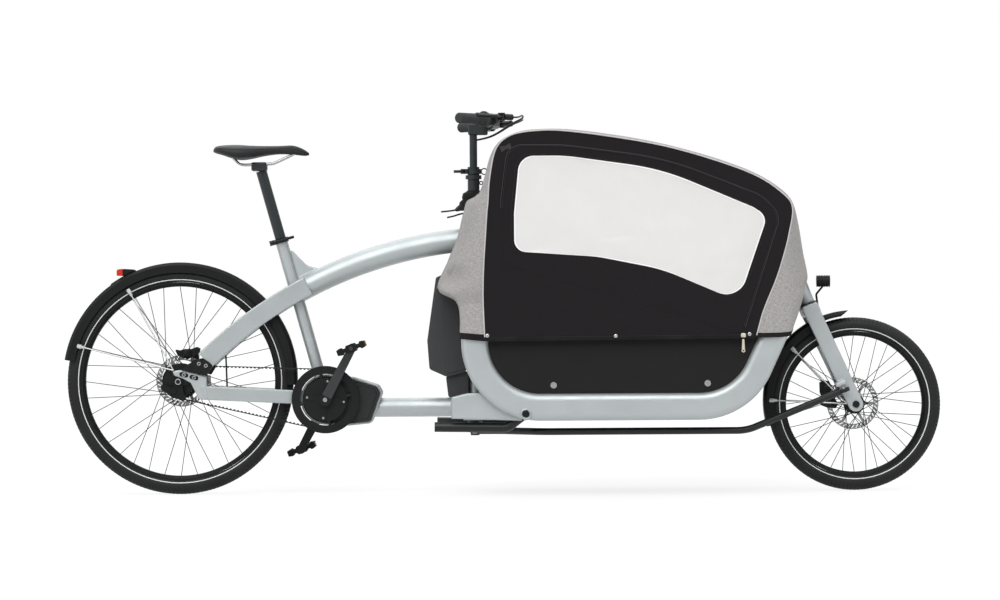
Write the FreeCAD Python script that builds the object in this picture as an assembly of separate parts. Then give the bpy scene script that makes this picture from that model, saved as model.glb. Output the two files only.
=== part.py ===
import FreeCAD, Part
import os
from math import atan2, cos, degrees, pi, radians, sin, sqrt, tan

# Front-loading cargo bicycle with a rain canopy, in millimetres.
# +X is forward, +Y the rider's left, +Z up, and the origin lies on the ground
# under the middle of the whole. Pieces are drawn with X measured from the rear
# axle, and are moved forward by rear_axle_x when they are written.

# Wheels
wheelbase = 1945.0
rear_tyre_r = 326.5
front_tyre_r = 249.5
tyre_width = 47.0
tyre_wall = 4.0
tyre_height = 40.25
rim_depth = 13.0
rim_width = 34.0
spoke_count = 36
spoke_d = 2.0
flange_t = 2.2
rear_flange_r = 50.0
rear_flange_y = 28.0
front_flange_r = 27.0
front_flange_y = 27.0
axle_r = 6.0
rear_width = 135.0
front_width = 100.0
rotor_r = 75.0
rotor_t = 2.0
rotor_rim = 15.0
rotor_slots = 36
nut_r = 10.0
nut_t = 8.0
interface_wall = 2.2

# Fits and clearances
running = 0.05
gap = 0.3
seat = 0.1

# Drive
crank_x = 421.0
crank_z = 272.0
crank_length = 168.0
crank_angle = 62.0
crank_t = 14.0
crank_y = 77.0
spindle_r = 10.0
belt_y = 58.0
belt_width = 10.0
belt_back = 2.4
belt_tooth = 2.6
tooth_pitch = 11.0
front_teeth = 50
rear_teeth = 27
guard_ring_r = 97.0
guard_ring_bore = 74.0
guard_ring_t = 4.0
spider_r = 62.0
pedal_length = 84.0
pedal_width = 92.0
pedal_t = 24.0
pedal_gap = 8.0
pedal_tilt = 20.0
pedal_pin_r = 6.0

# Motor and its cradle
motor_r = 66.0
motor_half_width = 45.0
motor_top = 56.0
motor_reach = 157.0
motor_drop = 69.0
cradle_t = 7.0
cradle_half_width = 37.0

# Frame tubes
arch_x = 928.0
arch_top = 734.0
stay_rear_x = 78.0
stay_rear_rise = 61.5
top_tube_r = 33.5
tube_wall = 3.0
seat_tube_r = 17.5
seat_tube_lean = 15.6
seat_tube_top = 733.0
post_r = 15.5
saddle_gauge = 22.0
saddle_rail_r = 3.5
stay_height = 55.0
stay_t = 18.0
stay_y_rear = 76.0
stay_y_front = 37.0
chain_stay_height = 39.0
dropout_t = 8.0
splice_t = 6.0
lower_tube_r = 27.5
lower_tube_z = 247.0
junction_r = 32.5
junction_half = 36.0
wedge_half = 200.0
column_x = 850.0
column_tube_r = 18.0
column_tube_bore = 15.6
column_tube_base = 213.0
column_tube_top = 845.0

# Cargo frame and box
rail_height = 76.0
rail_width = 44.0
rail_wall = 3.0
rail_y = 272.0
rail_z = 252.0
rail_rear_x = 852.0
rail_front_x = 1604.0
rail_bend = 185.0
rail_lean = 24.5
rail_rear_top = 500.0
rail_front_top = 462.0
panel_t = 8.0
panel_top = 480.0
front_board_top = 412.0
floor_t = 9.0
floor_z = 262.0
beam_r = 18.0

# Steering
head_tilt = 21.0
crown_x = 1813.0
crown_z = 537.0
head_tube_r = 22.0
head_tube_length = 118.0
steerer_r = 14.0
crown_depth = 34.0
blade_width = 46.0
blade_t = 20.0
blade_y = 60.0
shaft_r = 13.0
shaft_bore = 11.1
bar_post_r = 11.0
arm_r = 100.0
rod_r = 10.0
rod_ball_r = 9.0
rod_eye_r = 14.0
rod_eye_t = 11.0
rod_z = 181.0
front_ball_z = 290.0
front_ball_play = 3.0
rod_bow_y = 205.0
stud_r = 4.0

# Handlebar
bar_r = 11.1
bar_z = 1062.0
bar_half_width = 312.0
grip_r = 15.0
grip_sweep = 40.0
grip_length = 122.0
right_grip_length = 78.0
shifter_length = 42.0
shifter_r = 23.0
clamp_r = 17.0
clamp_length = 22.0
reservoir_length = 44.0
lever_reach = 44.0
lever_pin_r = 3.0
lever_eye_r = 8.0
cheek_r = 10.0
lever_length = 112.0
lever_drop = -6.0
hose_r = 2.5
sleeve_r = 17.0
sleeve_base = 850.0
sleeve_top = 940.0
cam_pin_r = 2.5
cam_eye_r = 6.0
cam_eye_half = 4.2
cam_aside = 14.0
column_lever_length = 26.0

# Canopy
hem_z = 446.0
canopy_half_width = 305.5
canopy_lean = 0.075
cloth_t = 2.5
rear_seam_x = 930.0
nose_seam_x = 1640.0
nose_seam_z = 815.0
roof_edge = 8.0
shoulder = 9.0
column_slot = 54.0
bow_r = 6.0
bow_bend = 45.0

# Mudguards
guard_half_width = 30.0
guard_depth = 30.0
guard_t = 2.0
rear_guard_gap = 11.5
rear_guard_r = rear_tyre_r + rear_guard_gap
rear_guard_lift = 5.0
rear_guard_start = -3.0
rear_guard_end = 170.0
front_guard_gap = 12.5
front_guard_r = front_tyre_r + front_guard_gap
front_guard_lift = 8.0
front_guard_start = 93.0
front_guard_end = 196.0
wire_r = 2.0
strip_t = 3.0
front_skirt = 15.0
light_turn = 118.6

# Stand
stand_x = 995.0
stand_z = 234.0
stand_y = 232.0
stand_r = 14.0
stand_length = 258.0
stand_drop = 40.0
stand_boss_r = 19.0
stand_pin_r = 7.0

rear_z = rear_tyre_r
front_z = front_tyre_r
arch_drop = arch_top - rear_z - stay_rear_rise
arch_r = ((arch_x - stay_rear_x) ** 2 + arch_drop ** 2) / (2 * arch_drop)
arch_z = arch_top - arch_r
rear_reach = max(rear_tyre_r, -rear_guard_r * cos(radians(rear_guard_end)))
rear_axle_x = rear_reach - (rear_reach + wheelbase + front_tyre_r) / 2
os.makedirs("parts", exist_ok=True)
V = FreeCAD.Vector
ALONG_X = V(1, 0, 0)
ALONG_Y = V(0, 1, 0)
ALONG_Z = V(0, 0, 1)
SIDES = (-1, 1)


def save(name, shapes):
    """Writes one node, moved from the rear axle to the common origin."""
    node = Part.makeCompound(shapes) if len(shapes) > 1 else shapes[0].copy()
    node.translate(V(rear_axle_x, 0, 0))
    node.exportStep("parts/" + name + ".step")
    bad = [s for s in node.Solids if not s.isValid()]
    print(name, len(node.Solids), "solids", round(node.Volume / 1000, 1), "cm3", "INVALID" if bad else "")


def cyl(start, end, radius):
    """A round bar from one point to another."""
    return Part.makeCylinder(radius, (end - start).Length, start, end - start)


def bored(start, end, radius, bore):
    """A round tube from one point to another."""
    return cyl(start, end, radius).cut(cyl(start, end, bore))


def across(x, z, y0, y1, radius):
    """A round bar parallel to Y."""
    return cyl(V(x, min(y0, y1), z), V(x, max(y0, y1), z), radius)


def rounded(points, radii):
    """A closed wire through corner points, each rounded by a tangent arc."""
    edges = []
    count = len(points)
    starts = []
    ends = []
    arcs = []
    for i in range(count):
        p, q, s = points[i - 1], points[i], points[(i + 1) % count]
        a = (p - q).normalize()
        b = (s - q).normalize()
        r = radii[i] if isinstance(radii, (list, tuple)) else radii
        if r == 0:
            starts.append(q)
            ends.append(q)
            arcs.append(None)
            continue
        half = a.getAngle(b) / 2
        set_back = r / tan(half)
        middle = q + (a + b).normalize() * (r / sin(half) - r)
        starts.append(q + a * set_back)
        ends.append(q + b * set_back)
        arcs.append(Part.Arc(starts[-1], middle, ends[-1]).toShape())
    for i in range(count):
        if arcs[i]:
            edges.append(arcs[i])
        follow = starts[(i + 1) % count]
        if ends[i].distanceToPoint(follow) > 1e-6:
            edges.append(Part.makeLine(ends[i], follow))
    return Part.Wire(edges)


def side_prism(points, radii, y0, y1):
    """An outline in the side view, carried across from y0 to y1."""
    face = Part.Face(rounded([V(x, y0, z) for x, z in points], radii))
    return face.extrude(V(0, y1 - y0, 0))


def plan_prism(points, radii, z0, z1):
    """An outline in the plan view, carried up from z0 to z1."""
    face = Part.Face(rounded([V(x, y, z0) for x, y in points], radii))
    return face.extrude(V(0, 0, z1 - z0))


def box(x0, x1, y0, y1, z0, z1):
    return Part.makeBox(x1 - x0, y1 - y0, z1 - z0, V(x0, y0, z0))


def bent_path(points, bends):
    """Straight runs joined by tangent arcs, one bend radius for each inner point."""
    edges = []
    last = points[0]
    for i in range(1, len(points) - 1):
        q = points[i]
        a = (points[i - 1] - q).normalize()
        b = (points[i + 1] - q).normalize()
        r = bends[i - 1] if isinstance(bends, (list, tuple)) else bends
        half = a.getAngle(b) / 2
        start = q + a * (r / tan(half))
        end = q + b * (r / tan(half))
        middle = q + (a + b).normalize() * (r / sin(half) - r)
        edges.append(Part.makeLine(last, start))
        edges.append(Part.Arc(start, middle, end).toShape())
        last = end
    edges.append(Part.makeLine(last, points[-1]))
    return Part.Wire(edges)


def bent_tube(points, bends, radius):
    """A round bar along straight runs and tangent arcs."""
    path = bent_path(points, bends)
    ring = Part.Wire(Part.makeCircle(radius, points[0], points[1] - points[0]))
    return path.makePipeShell([ring], True, False)


def turned(profile, x, z, y=0.0, angle=360.0):
    """A (radius, y) profile turned about an axis parallel to Y."""
    wire = Part.makePolygon([V(x + r, y + t, z) for r, t in profile + profile[:1]])
    return Part.Face(wire).revolve(V(x, 0, z), ALONG_Y, angle)


def mirrored(shape):
    return shape.mirror(V(0, 0, 0), ALONG_Y)


def polar(x, z, r, angle):
    """The side-view point at a radius and an angle above the forward level."""
    return x + r * cos(radians(angle)), z + r * sin(radians(angle))


def eye_joint(pin, up, pin_r, eye_r, eye_half, cheek_half):
    """A pin, the slot between its cheeks, and the bored eye that turns in that slot."""
    bar = cyl(pin - up * cheek_half, pin + up * cheek_half, pin_r)
    slot = cyl(pin - up * (eye_half + gap), pin + up * (eye_half + gap), eye_r + 3)
    eye = cyl(pin - up * eye_half, pin + up * eye_half, eye_r)
    bore = cyl(pin - up * cheek_half, pin + up * cheek_half, pin_r + running)
    return bar, slot, eye, bore


def above_axle(shape):
    """Side-view points given by their height above the rear axle."""
    return [(x, rear_z + h) for x, h in shape]


def seat_axis(z):
    """The seat tube's axis at a height, in the middle plane."""
    return V(crank_x - (z - crank_z) * tan(radians(seat_tube_lean)), 0, z)


def tyre(x, z, outer):
    """A hollow tyre carcass, open towards the rim."""
    middle = outer - tyre_width / 2
    edge = outer - tyre_height
    ring = Part.Face(Part.Wire(Part.makeCircle(tyre_width / 2, V(x + middle, 0, z), ALONG_Z)))
    bore = Part.Face(Part.Wire(Part.makeCircle(tyre_width / 2 - tyre_wall, V(x + middle, 0, z), ALONG_Z)))
    foot = Part.makePlane(edge + gap, tyre_width + 2, V(x, -tyre_width / 2 - 1, z))
    return ring.cut(bore).cut(foot).revolve(V(x, 0, z), ALONG_Y, 360).Solids[0]


def rim(x, z, outer):
    """A box-section rim whose two edges carry the tyre."""
    edge = outer - tyre_height
    half = rim_width / 2
    well = half - 4
    profile = [(edge, half), (edge, half - 3), (edge - rim_depth / 2, well), (edge - rim_depth / 2, -well),
               (edge, 3 - half), (edge, -half), (edge - rim_depth / 3, -half),
               (edge - rim_depth, 9 - half), (edge - rim_depth, half - 9), (edge - rim_depth / 3, half)]
    return turned(profile, x, z)


def spokes(x, z, outer, flange_r, flange_y, turn):
    """Crossed spokes, outside and inside each flange in turn."""
    per_side = spoke_count // 2
    reach = outer - tyre_height - rim_depth - 0.6
    aside = flange_t / 2 + spoke_d / 2 + 0.5
    bars = []
    for side in SIDES:
        for k in range(per_side):
            out = 1 if k % 2 == 0 else -1
            head = 360.0 / per_side * k + (180.0 / per_side if side > 0 else 0)
            hx, hz = polar(x, z, flange_r, head)
            rx, rz = polar(x, z, reach, head + out * turn)
            start = V(hx, side * (flange_y + out * aside), hz)
            bars.append(cyl(start, V(rx, side * 3.0, rz), spoke_d / 2))
    return bars


def hub(x, z, shell_r, flange_r, flange_y, half_length, boss_r):
    """A flanged hub shell bored for its axle."""
    edge = flange_r + 1.5
    f0, f1 = flange_y - flange_t / 2, flange_y + flange_t / 2
    bore = axle_r + running
    right = [(bore, -half_length), (boss_r, -half_length), (boss_r, -f1), (edge, -f1), (edge, -f0),
             (shell_r, -f0)]
    left = [(r, -y) for r, y in reversed(right)]
    return turned(right + left, x, z)


def rotor(x, z, y, bore):
    """A brake disc: a slotted rim on six arms about its carrier."""
    inner = rotor_r - rotor_rim
    disc = across(x, z, y - rotor_t / 2, y + rotor_t / 2, rotor_r).cut(across(x, z, y - 2, y + 2, inner))
    slots = []
    for k in range(rotor_slots):
        slot = box(-rotor_rim * 0.36, rotor_rim * 0.36, y - 2, y + 2, -1.2, 1.2)
        slot.rotate(V(0, 0, 0), ALONG_Y, 38)
        slot.translate(V(rotor_r - rotor_rim / 2, 0, 0))
        slot.rotate(V(0, 0, 0), ALONG_Y, 360.0 * k / rotor_slots)
        slot.translate(V(x, 0, z))
        slots.append(slot)
    arms = [across(x, z, y - rotor_t / 2, y + rotor_t / 2, bore + 9)]
    for k in range(6):
        arm = box(0, inner + 3, y - rotor_t / 2, y + rotor_t / 2, -4, 4)
        arm.rotate(V(0, 0, 0), ALONG_Y, 60.0 * k)
        arm.translate(V(x, 0, z))
        arms.append(arm)
    disc = disc.cut(slots).fuse(arms)
    return disc.cut(across(x, z, y - 2, y + 2, bore)).removeSplitter()


def caliper(x, z, y, spread, width):
    """A brake caliper: a block with a piston cap on each cheek, two bolt heads and a hose fitting."""
    w, h = spread
    body = box(x - w / 2, x + w / 2, y - width / 2, y + width / 2, z - h / 2, z + h / 2)
    body = body.makeFillet(4, body.Edges)
    cap_r = min(w, h) * 0.36
    parts = [across(x, z, y - width / 2 - 3, y + width / 2 + 3, cap_r)]
    along, up = (w / 2 - 7, 0) if w > h else (0, h / 2 - 7)
    for end in (-1, 1):
        parts.append(across(x + end * along, z + end * up, y - width / 2 - 2, y + width / 2 + 2, 4))
    parts.append(cyl(V(x - along * 0.6, y, z + h / 2 - 2), V(x - along * 0.6, y, z + h / 2 + 9), 4))
    return body.fuse(parts)


def mudguard(x, z, radius, start, end):
    """A trough-shaped guard swept about its wheel."""
    half, deep, t = guard_half_width, guard_depth, guard_t
    bevel = 8.0
    outer = [(radius - deep, -half), (radius - bevel, -half), (radius, bevel - half),
             (radius, half - bevel), (radius - bevel, half), (radius - deep, half)]
    inner = [(radius - deep, half - t), (radius - bevel - 1, half - t), (radius - t, half - bevel - 1),
             (radius - t, bevel + 1 - half), (radius - bevel - 1, t - half), (radius - deep, t - half)]
    guard = turned(outer + inner, x, z, angle=end - start)
    return guard.rotate(V(x, 0, z), ALONG_Y, -end)


def tangents(r0, r1):
    """The two outer tangent directions of the belt, as angles of the touching points."""
    dx = crank_x
    dz = crank_z - rear_z
    lean = degrees(atan2(dz, dx))
    spread = degrees(atan2(sqrt(dx * dx + dz * dz - (r1 - r0) ** 2), r1 - r0))
    return lean + 180 - spread, lean - 180 + spread


rear_pitch_r = rear_teeth * tooth_pitch / (2 * pi)
front_pitch_r = front_teeth * tooth_pitch / (2 * pi)
upper_angle, lower_angle = tangents(rear_pitch_r, front_pitch_r)


def belt_loop(offset, toothed):
    """The belt's closed line, offset from its pitch line, with teeth on its free runs."""
    y = -belt_y - belt_width / 2
    rear_r = rear_pitch_r + offset
    front_r = front_pitch_r + offset

    def at(cx, cz, r, angle):
        px, pz = polar(cx, cz, r, angle)
        return V(px, y, pz)

    def run(start, end, inward):
        if not toothed:
            return [Part.makeLine(start, end)]
        along = (end - start).normalize()
        length = (end - start).Length
        count = int(length / tooth_pitch) - 4
        first = (length - count * tooth_pitch) / 2
        points = [start]
        for k in range(count):
            for u, deep in ((0.2, 0), (0.35, 1), (0.65, 1), (0.8, 0)):
                points.append(start + along * (first + (k + u) * tooth_pitch) + inward * (deep * belt_tooth))
        points.append(end)
        return Part.makePolygon(points).Edges

    def inward(angle):
        return V(-cos(radians(angle)), 0, -sin(radians(angle)))

    rear_up = at(0, rear_z, rear_r, upper_angle)
    front_up = at(crank_x, crank_z, front_r, upper_angle)
    rear_low = at(0, rear_z, rear_r, lower_angle)
    front_low = at(crank_x, crank_z, front_r, lower_angle)
    middle = (upper_angle + lower_angle) / 2
    rear_arc = Part.Arc(rear_low, at(0, rear_z, rear_r, middle + 180), rear_up).toShape()
    front_arc = Part.Arc(front_up, at(crank_x, crank_z, front_r, middle), front_low).toShape()
    edges = [rear_arc] + run(rear_up, front_up, inward(upper_angle))
    edges += [front_arc] + run(front_low, rear_low, inward(lower_angle))
    return Part.Wire(Part.__sortEdges__(edges))


def pulley(x, z, pitch_r, teeth):
    """A toothed belt pulley that stays clear of the belt's back."""
    tip = pitch_r - belt_back / 2 - gap
    root = tip - belt_tooth
    points = []
    for k in range(teeth):
        for u, r in ((0.0, tip), (0.4, tip), (0.55, root), (0.85, root)):
            px, pz = polar(x, z, r, 360.0 * (k + u) / teeth)
            points.append(V(px, -belt_y - belt_width / 2, pz))
    return Part.Face(Part.makePolygon(points + points[:1])).extrude(V(0, belt_width, 0))


# Wheels, brakes and the rear axle
front_x = wheelbase
save("rear_tyre", [tyre(0, rear_z, rear_tyre_r)])
save("front_tyre", [tyre(front_x, front_z, front_tyre_r)])
save("rear_rim", [rim(0, rear_z, rear_tyre_r)])
save("front_rim", [rim(front_x, front_z, front_tyre_r)])
save("rear_spokes", spokes(0, rear_z, rear_tyre_r, rear_flange_r, rear_flange_y, 40))
save("front_spokes", spokes(front_x, front_z, front_tyre_r, front_flange_r, front_flange_y, 60))
rear_disc_y = rear_width / 2 - 16
front_disc_y = front_width / 2 - 12
rear_boss_r = 21.0
front_boss_r = 16.0
rear_hub = hub(0, rear_z, rear_flange_r - 6, rear_flange_r, rear_flange_y, belt_y - belt_width, rear_boss_r)
rear_hub = rear_hub.fuse(bored(V(0, belt_y - belt_width, rear_z), V(0, rear_width / 2 - 2, rear_z), rear_boss_r - 4,
                               axle_r + running))
front_hub = hub(front_x, front_z, front_flange_r - 6, front_flange_r, front_flange_y, front_width / 2 - 2,
                front_boss_r)
save("rear_hub", [rear_hub.removeSplitter(), rotor(0, rear_z, rear_disc_y, rear_boss_r - 4 + seat)])
save("front_hub", [front_hub, rotor(front_x, front_z, front_disc_y, front_boss_r + seat)])

slider_y0 = rear_width / 2
slider_y1 = slider_y0 + dropout_t
dropout_y1 = slider_y1 + dropout_t
axle_end = slider_y1 + nut_t + 12
axle = across(0, rear_z, -axle_end, axle_end, axle_r)
for side in SIDES:
    axle = axle.fuse(across(0, rear_z, side * slider_y1, side * (slider_y1 + nut_t), nut_r))
interface_points = above_axle([(-50, -4.5), (-8, -20.5), (24, -41.5), (16, -58.5), (-16, -42.5),
                               (-50, -22.5)])
interface = side_prism(interface_points, 6, -slider_y1 - nut_t, -slider_y1 - gap)
collar = across(0, rear_z, -slider_y1 - nut_t, -slider_y1 - gap, nut_r + gap + interface_wall)
rib = side_prism(above_axle([(-nut_r, 0), (nut_r, 0), (16, -36.5), (-20, -36.5)]), 0, -slider_y1 - nut_t,
                 -slider_y1 - gap)
knob = across(-14, rear_z - 26.5, -slider_y1 - nut_t - 4, -slider_y1 - gap, 9)
interface = interface.fuse([collar, rib, knob]).cut(across(0, rear_z, -axle_end, axle_end, nut_r + gap))
interface = interface.removeSplitter()
cable_y = -belt_y - belt_width / 2 - 5.5
shift_cable = cyl(V(139, cable_y, rear_z - 15), V(136, cable_y, rear_z + 75), hose_r)
save("rear_axle", [axle, interface, shift_cable])

# Drive: motor, cradle, belt, pulleys, cranks and pedals
motor_outline = [(crank_x, crank_z + motor_r), (crank_x + 80, crank_z + motor_top),
                 (crank_x + motor_reach - 10, crank_z + 35), (crank_x + motor_reach, crank_z + 18),
                 (crank_x + 128, crank_z - 63), (crank_x + motor_r, crank_z - motor_drop), (crank_x, crank_z - motor_r)]


def motor_face(y, grow):
    """The motor's side outline, grown by an even margin."""
    disc = Part.Face(Part.Wire(Part.makeCircle(motor_r + grow, V(crank_x, y, crank_z), ALONG_Y)))
    nose = Part.Face(rounded([V(x, y, z) for x, z in motor_outline], [0, 10, 10, 10, 10, 10, 0]))
    nose = nose.makeOffset2D(grow) if grow else nose
    return disc.fuse(nose).removeSplitter()


def motor_block(half, grow):
    return motor_face(-half, grow).extrude(V(0, 2 * half, 0))


spindle_bore = across(crank_x, crank_z, -100, 100, spindle_r + running)
save("motor_unit", [motor_block(motor_half_width, 0).cut(spindle_bore)])
belt_outer = Part.Face(belt_loop(belt_back / 2, False))
belt_inner = Part.Face(belt_loop(-belt_back / 2, True))
save("belt", [belt_outer.cut(belt_inner).extrude(V(0, belt_width, 0))])

pulley_bore = across(0, rear_z, -100, 0, axle_r + running)
rear_pulley = pulley(0, rear_z, rear_pitch_r, rear_teeth)
rear_pulley = rear_pulley.fuse(across(0, rear_z, -slider_y0 + 1.5, -belt_y + belt_width - 1, axle_r + 10))
save("rear_pulley", [rear_pulley.cut(pulley_bore).removeSplitter()])

guard_y0 = belt_y + belt_width / 2
front_pulley = pulley(crank_x, crank_z, front_pitch_r, front_teeth)
guard_ring = across(crank_x, crank_z, -guard_y0 - guard_ring_t, -guard_y0 - gap, guard_ring_r)
ring_seat = across(crank_x, crank_z, -guard_y0 - guard_ring_t, -guard_y0 + 1,
                   front_pitch_r - 2 * belt_tooth - 2)
front_pulley = front_pulley.fuse([guard_ring, ring_seat])
front_pulley = front_pulley.cut(across(crank_x, crank_z, -crank_y, 0, guard_ring_bore))
spider = across(crank_x, crank_z, -guard_y0 - guard_ring_t, -guard_y0 + 6, spider_r)
for k in range(4):
    arm_x, arm_z = polar(crank_x, crank_z, guard_ring_bore + 4, 10 + 90 * k)
    arm = cyl(V(crank_x, -guard_y0 + 1, crank_z), V(arm_x, -guard_y0 + 1, arm_z), 5)
    spider = spider.fuse(arm)
front_pulley = front_pulley.fuse(spider).cut(across(crank_x, crank_z, -crank_y, 0, spindle_r + seat))
save("front_pulley", [front_pulley.removeSplitter()])

pedal_x, pedal_z = polar(0, 0, crank_length, crank_angle)
crank_parts = across(crank_x, crank_z, -crank_y - crank_t, crank_y + crank_t, spindle_r)
for side, sign in ((-1, 1), (1, -1)):
    tip_x = crank_x + sign * pedal_x
    tip_z = crank_z + sign * pedal_z
    y0 = crank_y if side > 0 else -crank_y - crank_t
    lean = radians(crank_angle)
    nx, nz = -sin(lean), cos(lean)
    root, tip = 15.0, 11.0
    web = side_prism([(crank_x + root * nx, crank_z + root * nz), (crank_x - root * nx, crank_z - root * nz),
                      (tip_x - tip * nx, tip_z - tip * nz), (tip_x + tip * nx, tip_z + tip * nz)], 0, y0, y0 + crank_t)
    ends = [across(crank_x, crank_z, y0, y0 + crank_t, root + 3),
            across(tip_x, tip_z, y0, y0 + crank_t, tip + 2)]
    y1 = side * (crank_y + crank_t)
    pin = across(tip_x, tip_z, y1, y1 + side * (pedal_width + pedal_gap), pedal_pin_r)
    crank_parts = crank_parts.fuse([web, pin] + ends)
save("crank_arms", [crank_parts.removeSplitter()])
for name, side, sign in (("pedal_right", -1, 1), ("pedal_left", 1, -1)):
    px = crank_x + sign * pedal_x
    pz = crank_z + sign * pedal_z
    y0 = side * (crank_y + crank_t + pedal_gap - 2)
    y1 = y0 + side * pedal_width
    half, thick = pedal_length / 2, pedal_t / 2
    lower = [(-half, 4 - thick), (13 - half, 1 - thick), (17 - half, 6 - thick), (-16, 6 - thick),
             (-12, -thick), (12, -thick), (16, 6 - thick), (half - 17, 6 - thick), (half - 13, 1 - thick),
             (half, 4 - thick)]
    outline = lower + [(x, -z) for x, z in reversed(lower)]
    frame = side_prism([(px + x, pz + z) for x, z in outline], 2, min(y0, y1), max(y0, y1))
    frame = frame.cut(across(px, pz, -300, 300, pedal_pin_r + running))
    for along in (-1, 1):
        cx = px + along * (half + 3) / 2
        mid = (y0 + y1) / 2
        frame = frame.cut(box(cx - 6, cx + 6, mid - 34, mid + 34, pz - 30, pz + 30))
    frame.rotate(V(px, 0, pz), ALONG_Y, -pedal_tilt)
    save(name, [frame])

# Frame tubes
shell = motor_block(cradle_half_width, cradle_t).cut(motor_block(cradle_half_width + 1, seat))
lower_end = column_x - junction_r - 10
lower = cyl(V(crank_x + motor_reach - 25, 0, lower_tube_z), V(lower_end, 0, lower_tube_z), lower_tube_r)
lower = lower.cut(motor_block(cradle_half_width + 40, seat))
junction_z0 = lower_tube_z - junction_r
junction_z1 = lower_tube_z + junction_r - 4
sleeve = box(lower_end - 26, column_x, -junction_half, junction_half, junction_z0, junction_z1)
sleeve = sleeve.makeFillet(6, [e for e in sleeve.Edges if abs(e.tangentAt(e.FirstParameter).x) > 0.9])
cross_half = rail_y - rail_width / 2 - seat
cross_x0, cross_x1 = column_x - junction_r, column_x + junction_r
cross = box(cross_x0, cross_x1, -cross_half, cross_half, junction_z0 + 2, junction_z1 - 14)
cross = cross.makeFillet(6, [e for e in cross.Edges if abs(e.tangentAt(e.FirstParameter).y) > 0.9])
wedge_points = [(cross_x0, junction_z0), (cross_x0, junction_z1), (column_x + 12, junction_z1),
                (column_x + 62, lower_tube_z - 9), (column_x + 123, lower_tube_z - 28),
                (column_x + 140, junction_z0)]
wedge = side_prism(wedge_points, [0, 0, 0, 120, 0, 0], -wedge_half, wedge_half)
column_hole = cyl(V(column_x, 0, 100), V(column_x, 0, 1000), column_tube_r)
lower_frame = shell.fuse([lower, sleeve, cross, wedge]).cut(column_hole)
seat_base = seat_axis(crank_z + motor_r - 4)
seat_top = seat_axis(seat_tube_top)
seat_solid = cyl(seat_base, seat_top, seat_tube_r)
lower_frame = lower_frame.cut(cyl(seat_base, seat_axis(seat_tube_top + 60), seat_tube_r))
save("lower_frame", [max(lower_frame.removeSplitter().Solids, key=lambda s: s.Volume)])
seat_tube = seat_solid.cut(motor_block(cradle_half_width + 1, seat))
post_base = seat_axis(seat_tube_top - 290)
seat_tube = seat_tube.cut(cyl(post_base, seat_axis(seat_tube_top + 60), post_r + seat))
save("seat_tube", [max(seat_tube.Solids, key=lambda s: s.Volume)])


def arch_point(x, offset=0.0):
    """A side-view point on the frame's one long arch, which runs from dropout to column."""
    z = arch_z + sqrt(arch_r ** 2 - (x - arch_x) ** 2)
    lean = atan2(z - arch_z, x - arch_x)
    return x + offset * cos(lean), z + offset * sin(lean)


def arch_band(x0, x1, height, y0, y1):
    """A band of even height along the arch, carried across."""
    def arc(offset):
        marks = [arch_point(x, offset) for x in (x0, (x0 + x1) / 2, x1)]
        return [V(px, y0, pz) for px, pz in marks]
    low = arc(-height / 2)
    high = arc(height / 2)
    edges = [Part.Arc(*low).toShape(), Part.makeLine(low[2], high[2]), Part.Arc(*high).toShape(),
             Part.makeLine(high[0], low[0])]
    return Part.Face(Part.Wire(Part.__sortEdges__(edges))).extrude(V(0, y1 - y0, 0))


tube_start = seat_axis(590).x
start = arch_point(tube_start)
finish = arch_point(column_x)
half_way = arch_point((tube_start + column_x) / 2)
spine = Part.Wire(Part.Arc(*[V(px, 0, pz) for px, pz in (start, half_way, finish)]).toShape())
lean = atan2(start[1] - arch_z, start[0] - arch_x)


def arch_tube(radius):
    centre = V(start[0], 0, start[1])
    ring = Part.Wire(Part.makeCircle(radius, centre, V(sin(lean), 0, -cos(lean))))
    return spine.makePipeShell([ring], True, False)


gusset_top = seat_axis(seat_tube_top - 28)
gusset = side_prism([(gusset_top.x, gusset_top.z), (gusset_top.x + 26, gusset_top.z - 4),
                     (gusset_top.x + 66, gusset_top.z - 46), arch_point(gusset_top.x + 150),
                     (seat_axis(600).x, 600)], [0, 8, 30, 0, 0], -6, 6)
seat_hole = cyl(seat_base, seat_axis(seat_tube_top + 60), seat_tube_r)
whole_tube = arch_tube(top_tube_r)
top_tube = whole_tube.fuse(gusset).cut([seat_hole, column_hole, arch_tube(top_tube_r - tube_wall)])
save("top_tube", [max(top_tube.removeSplitter().Solids, key=lambda s: s.Volume)])

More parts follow.
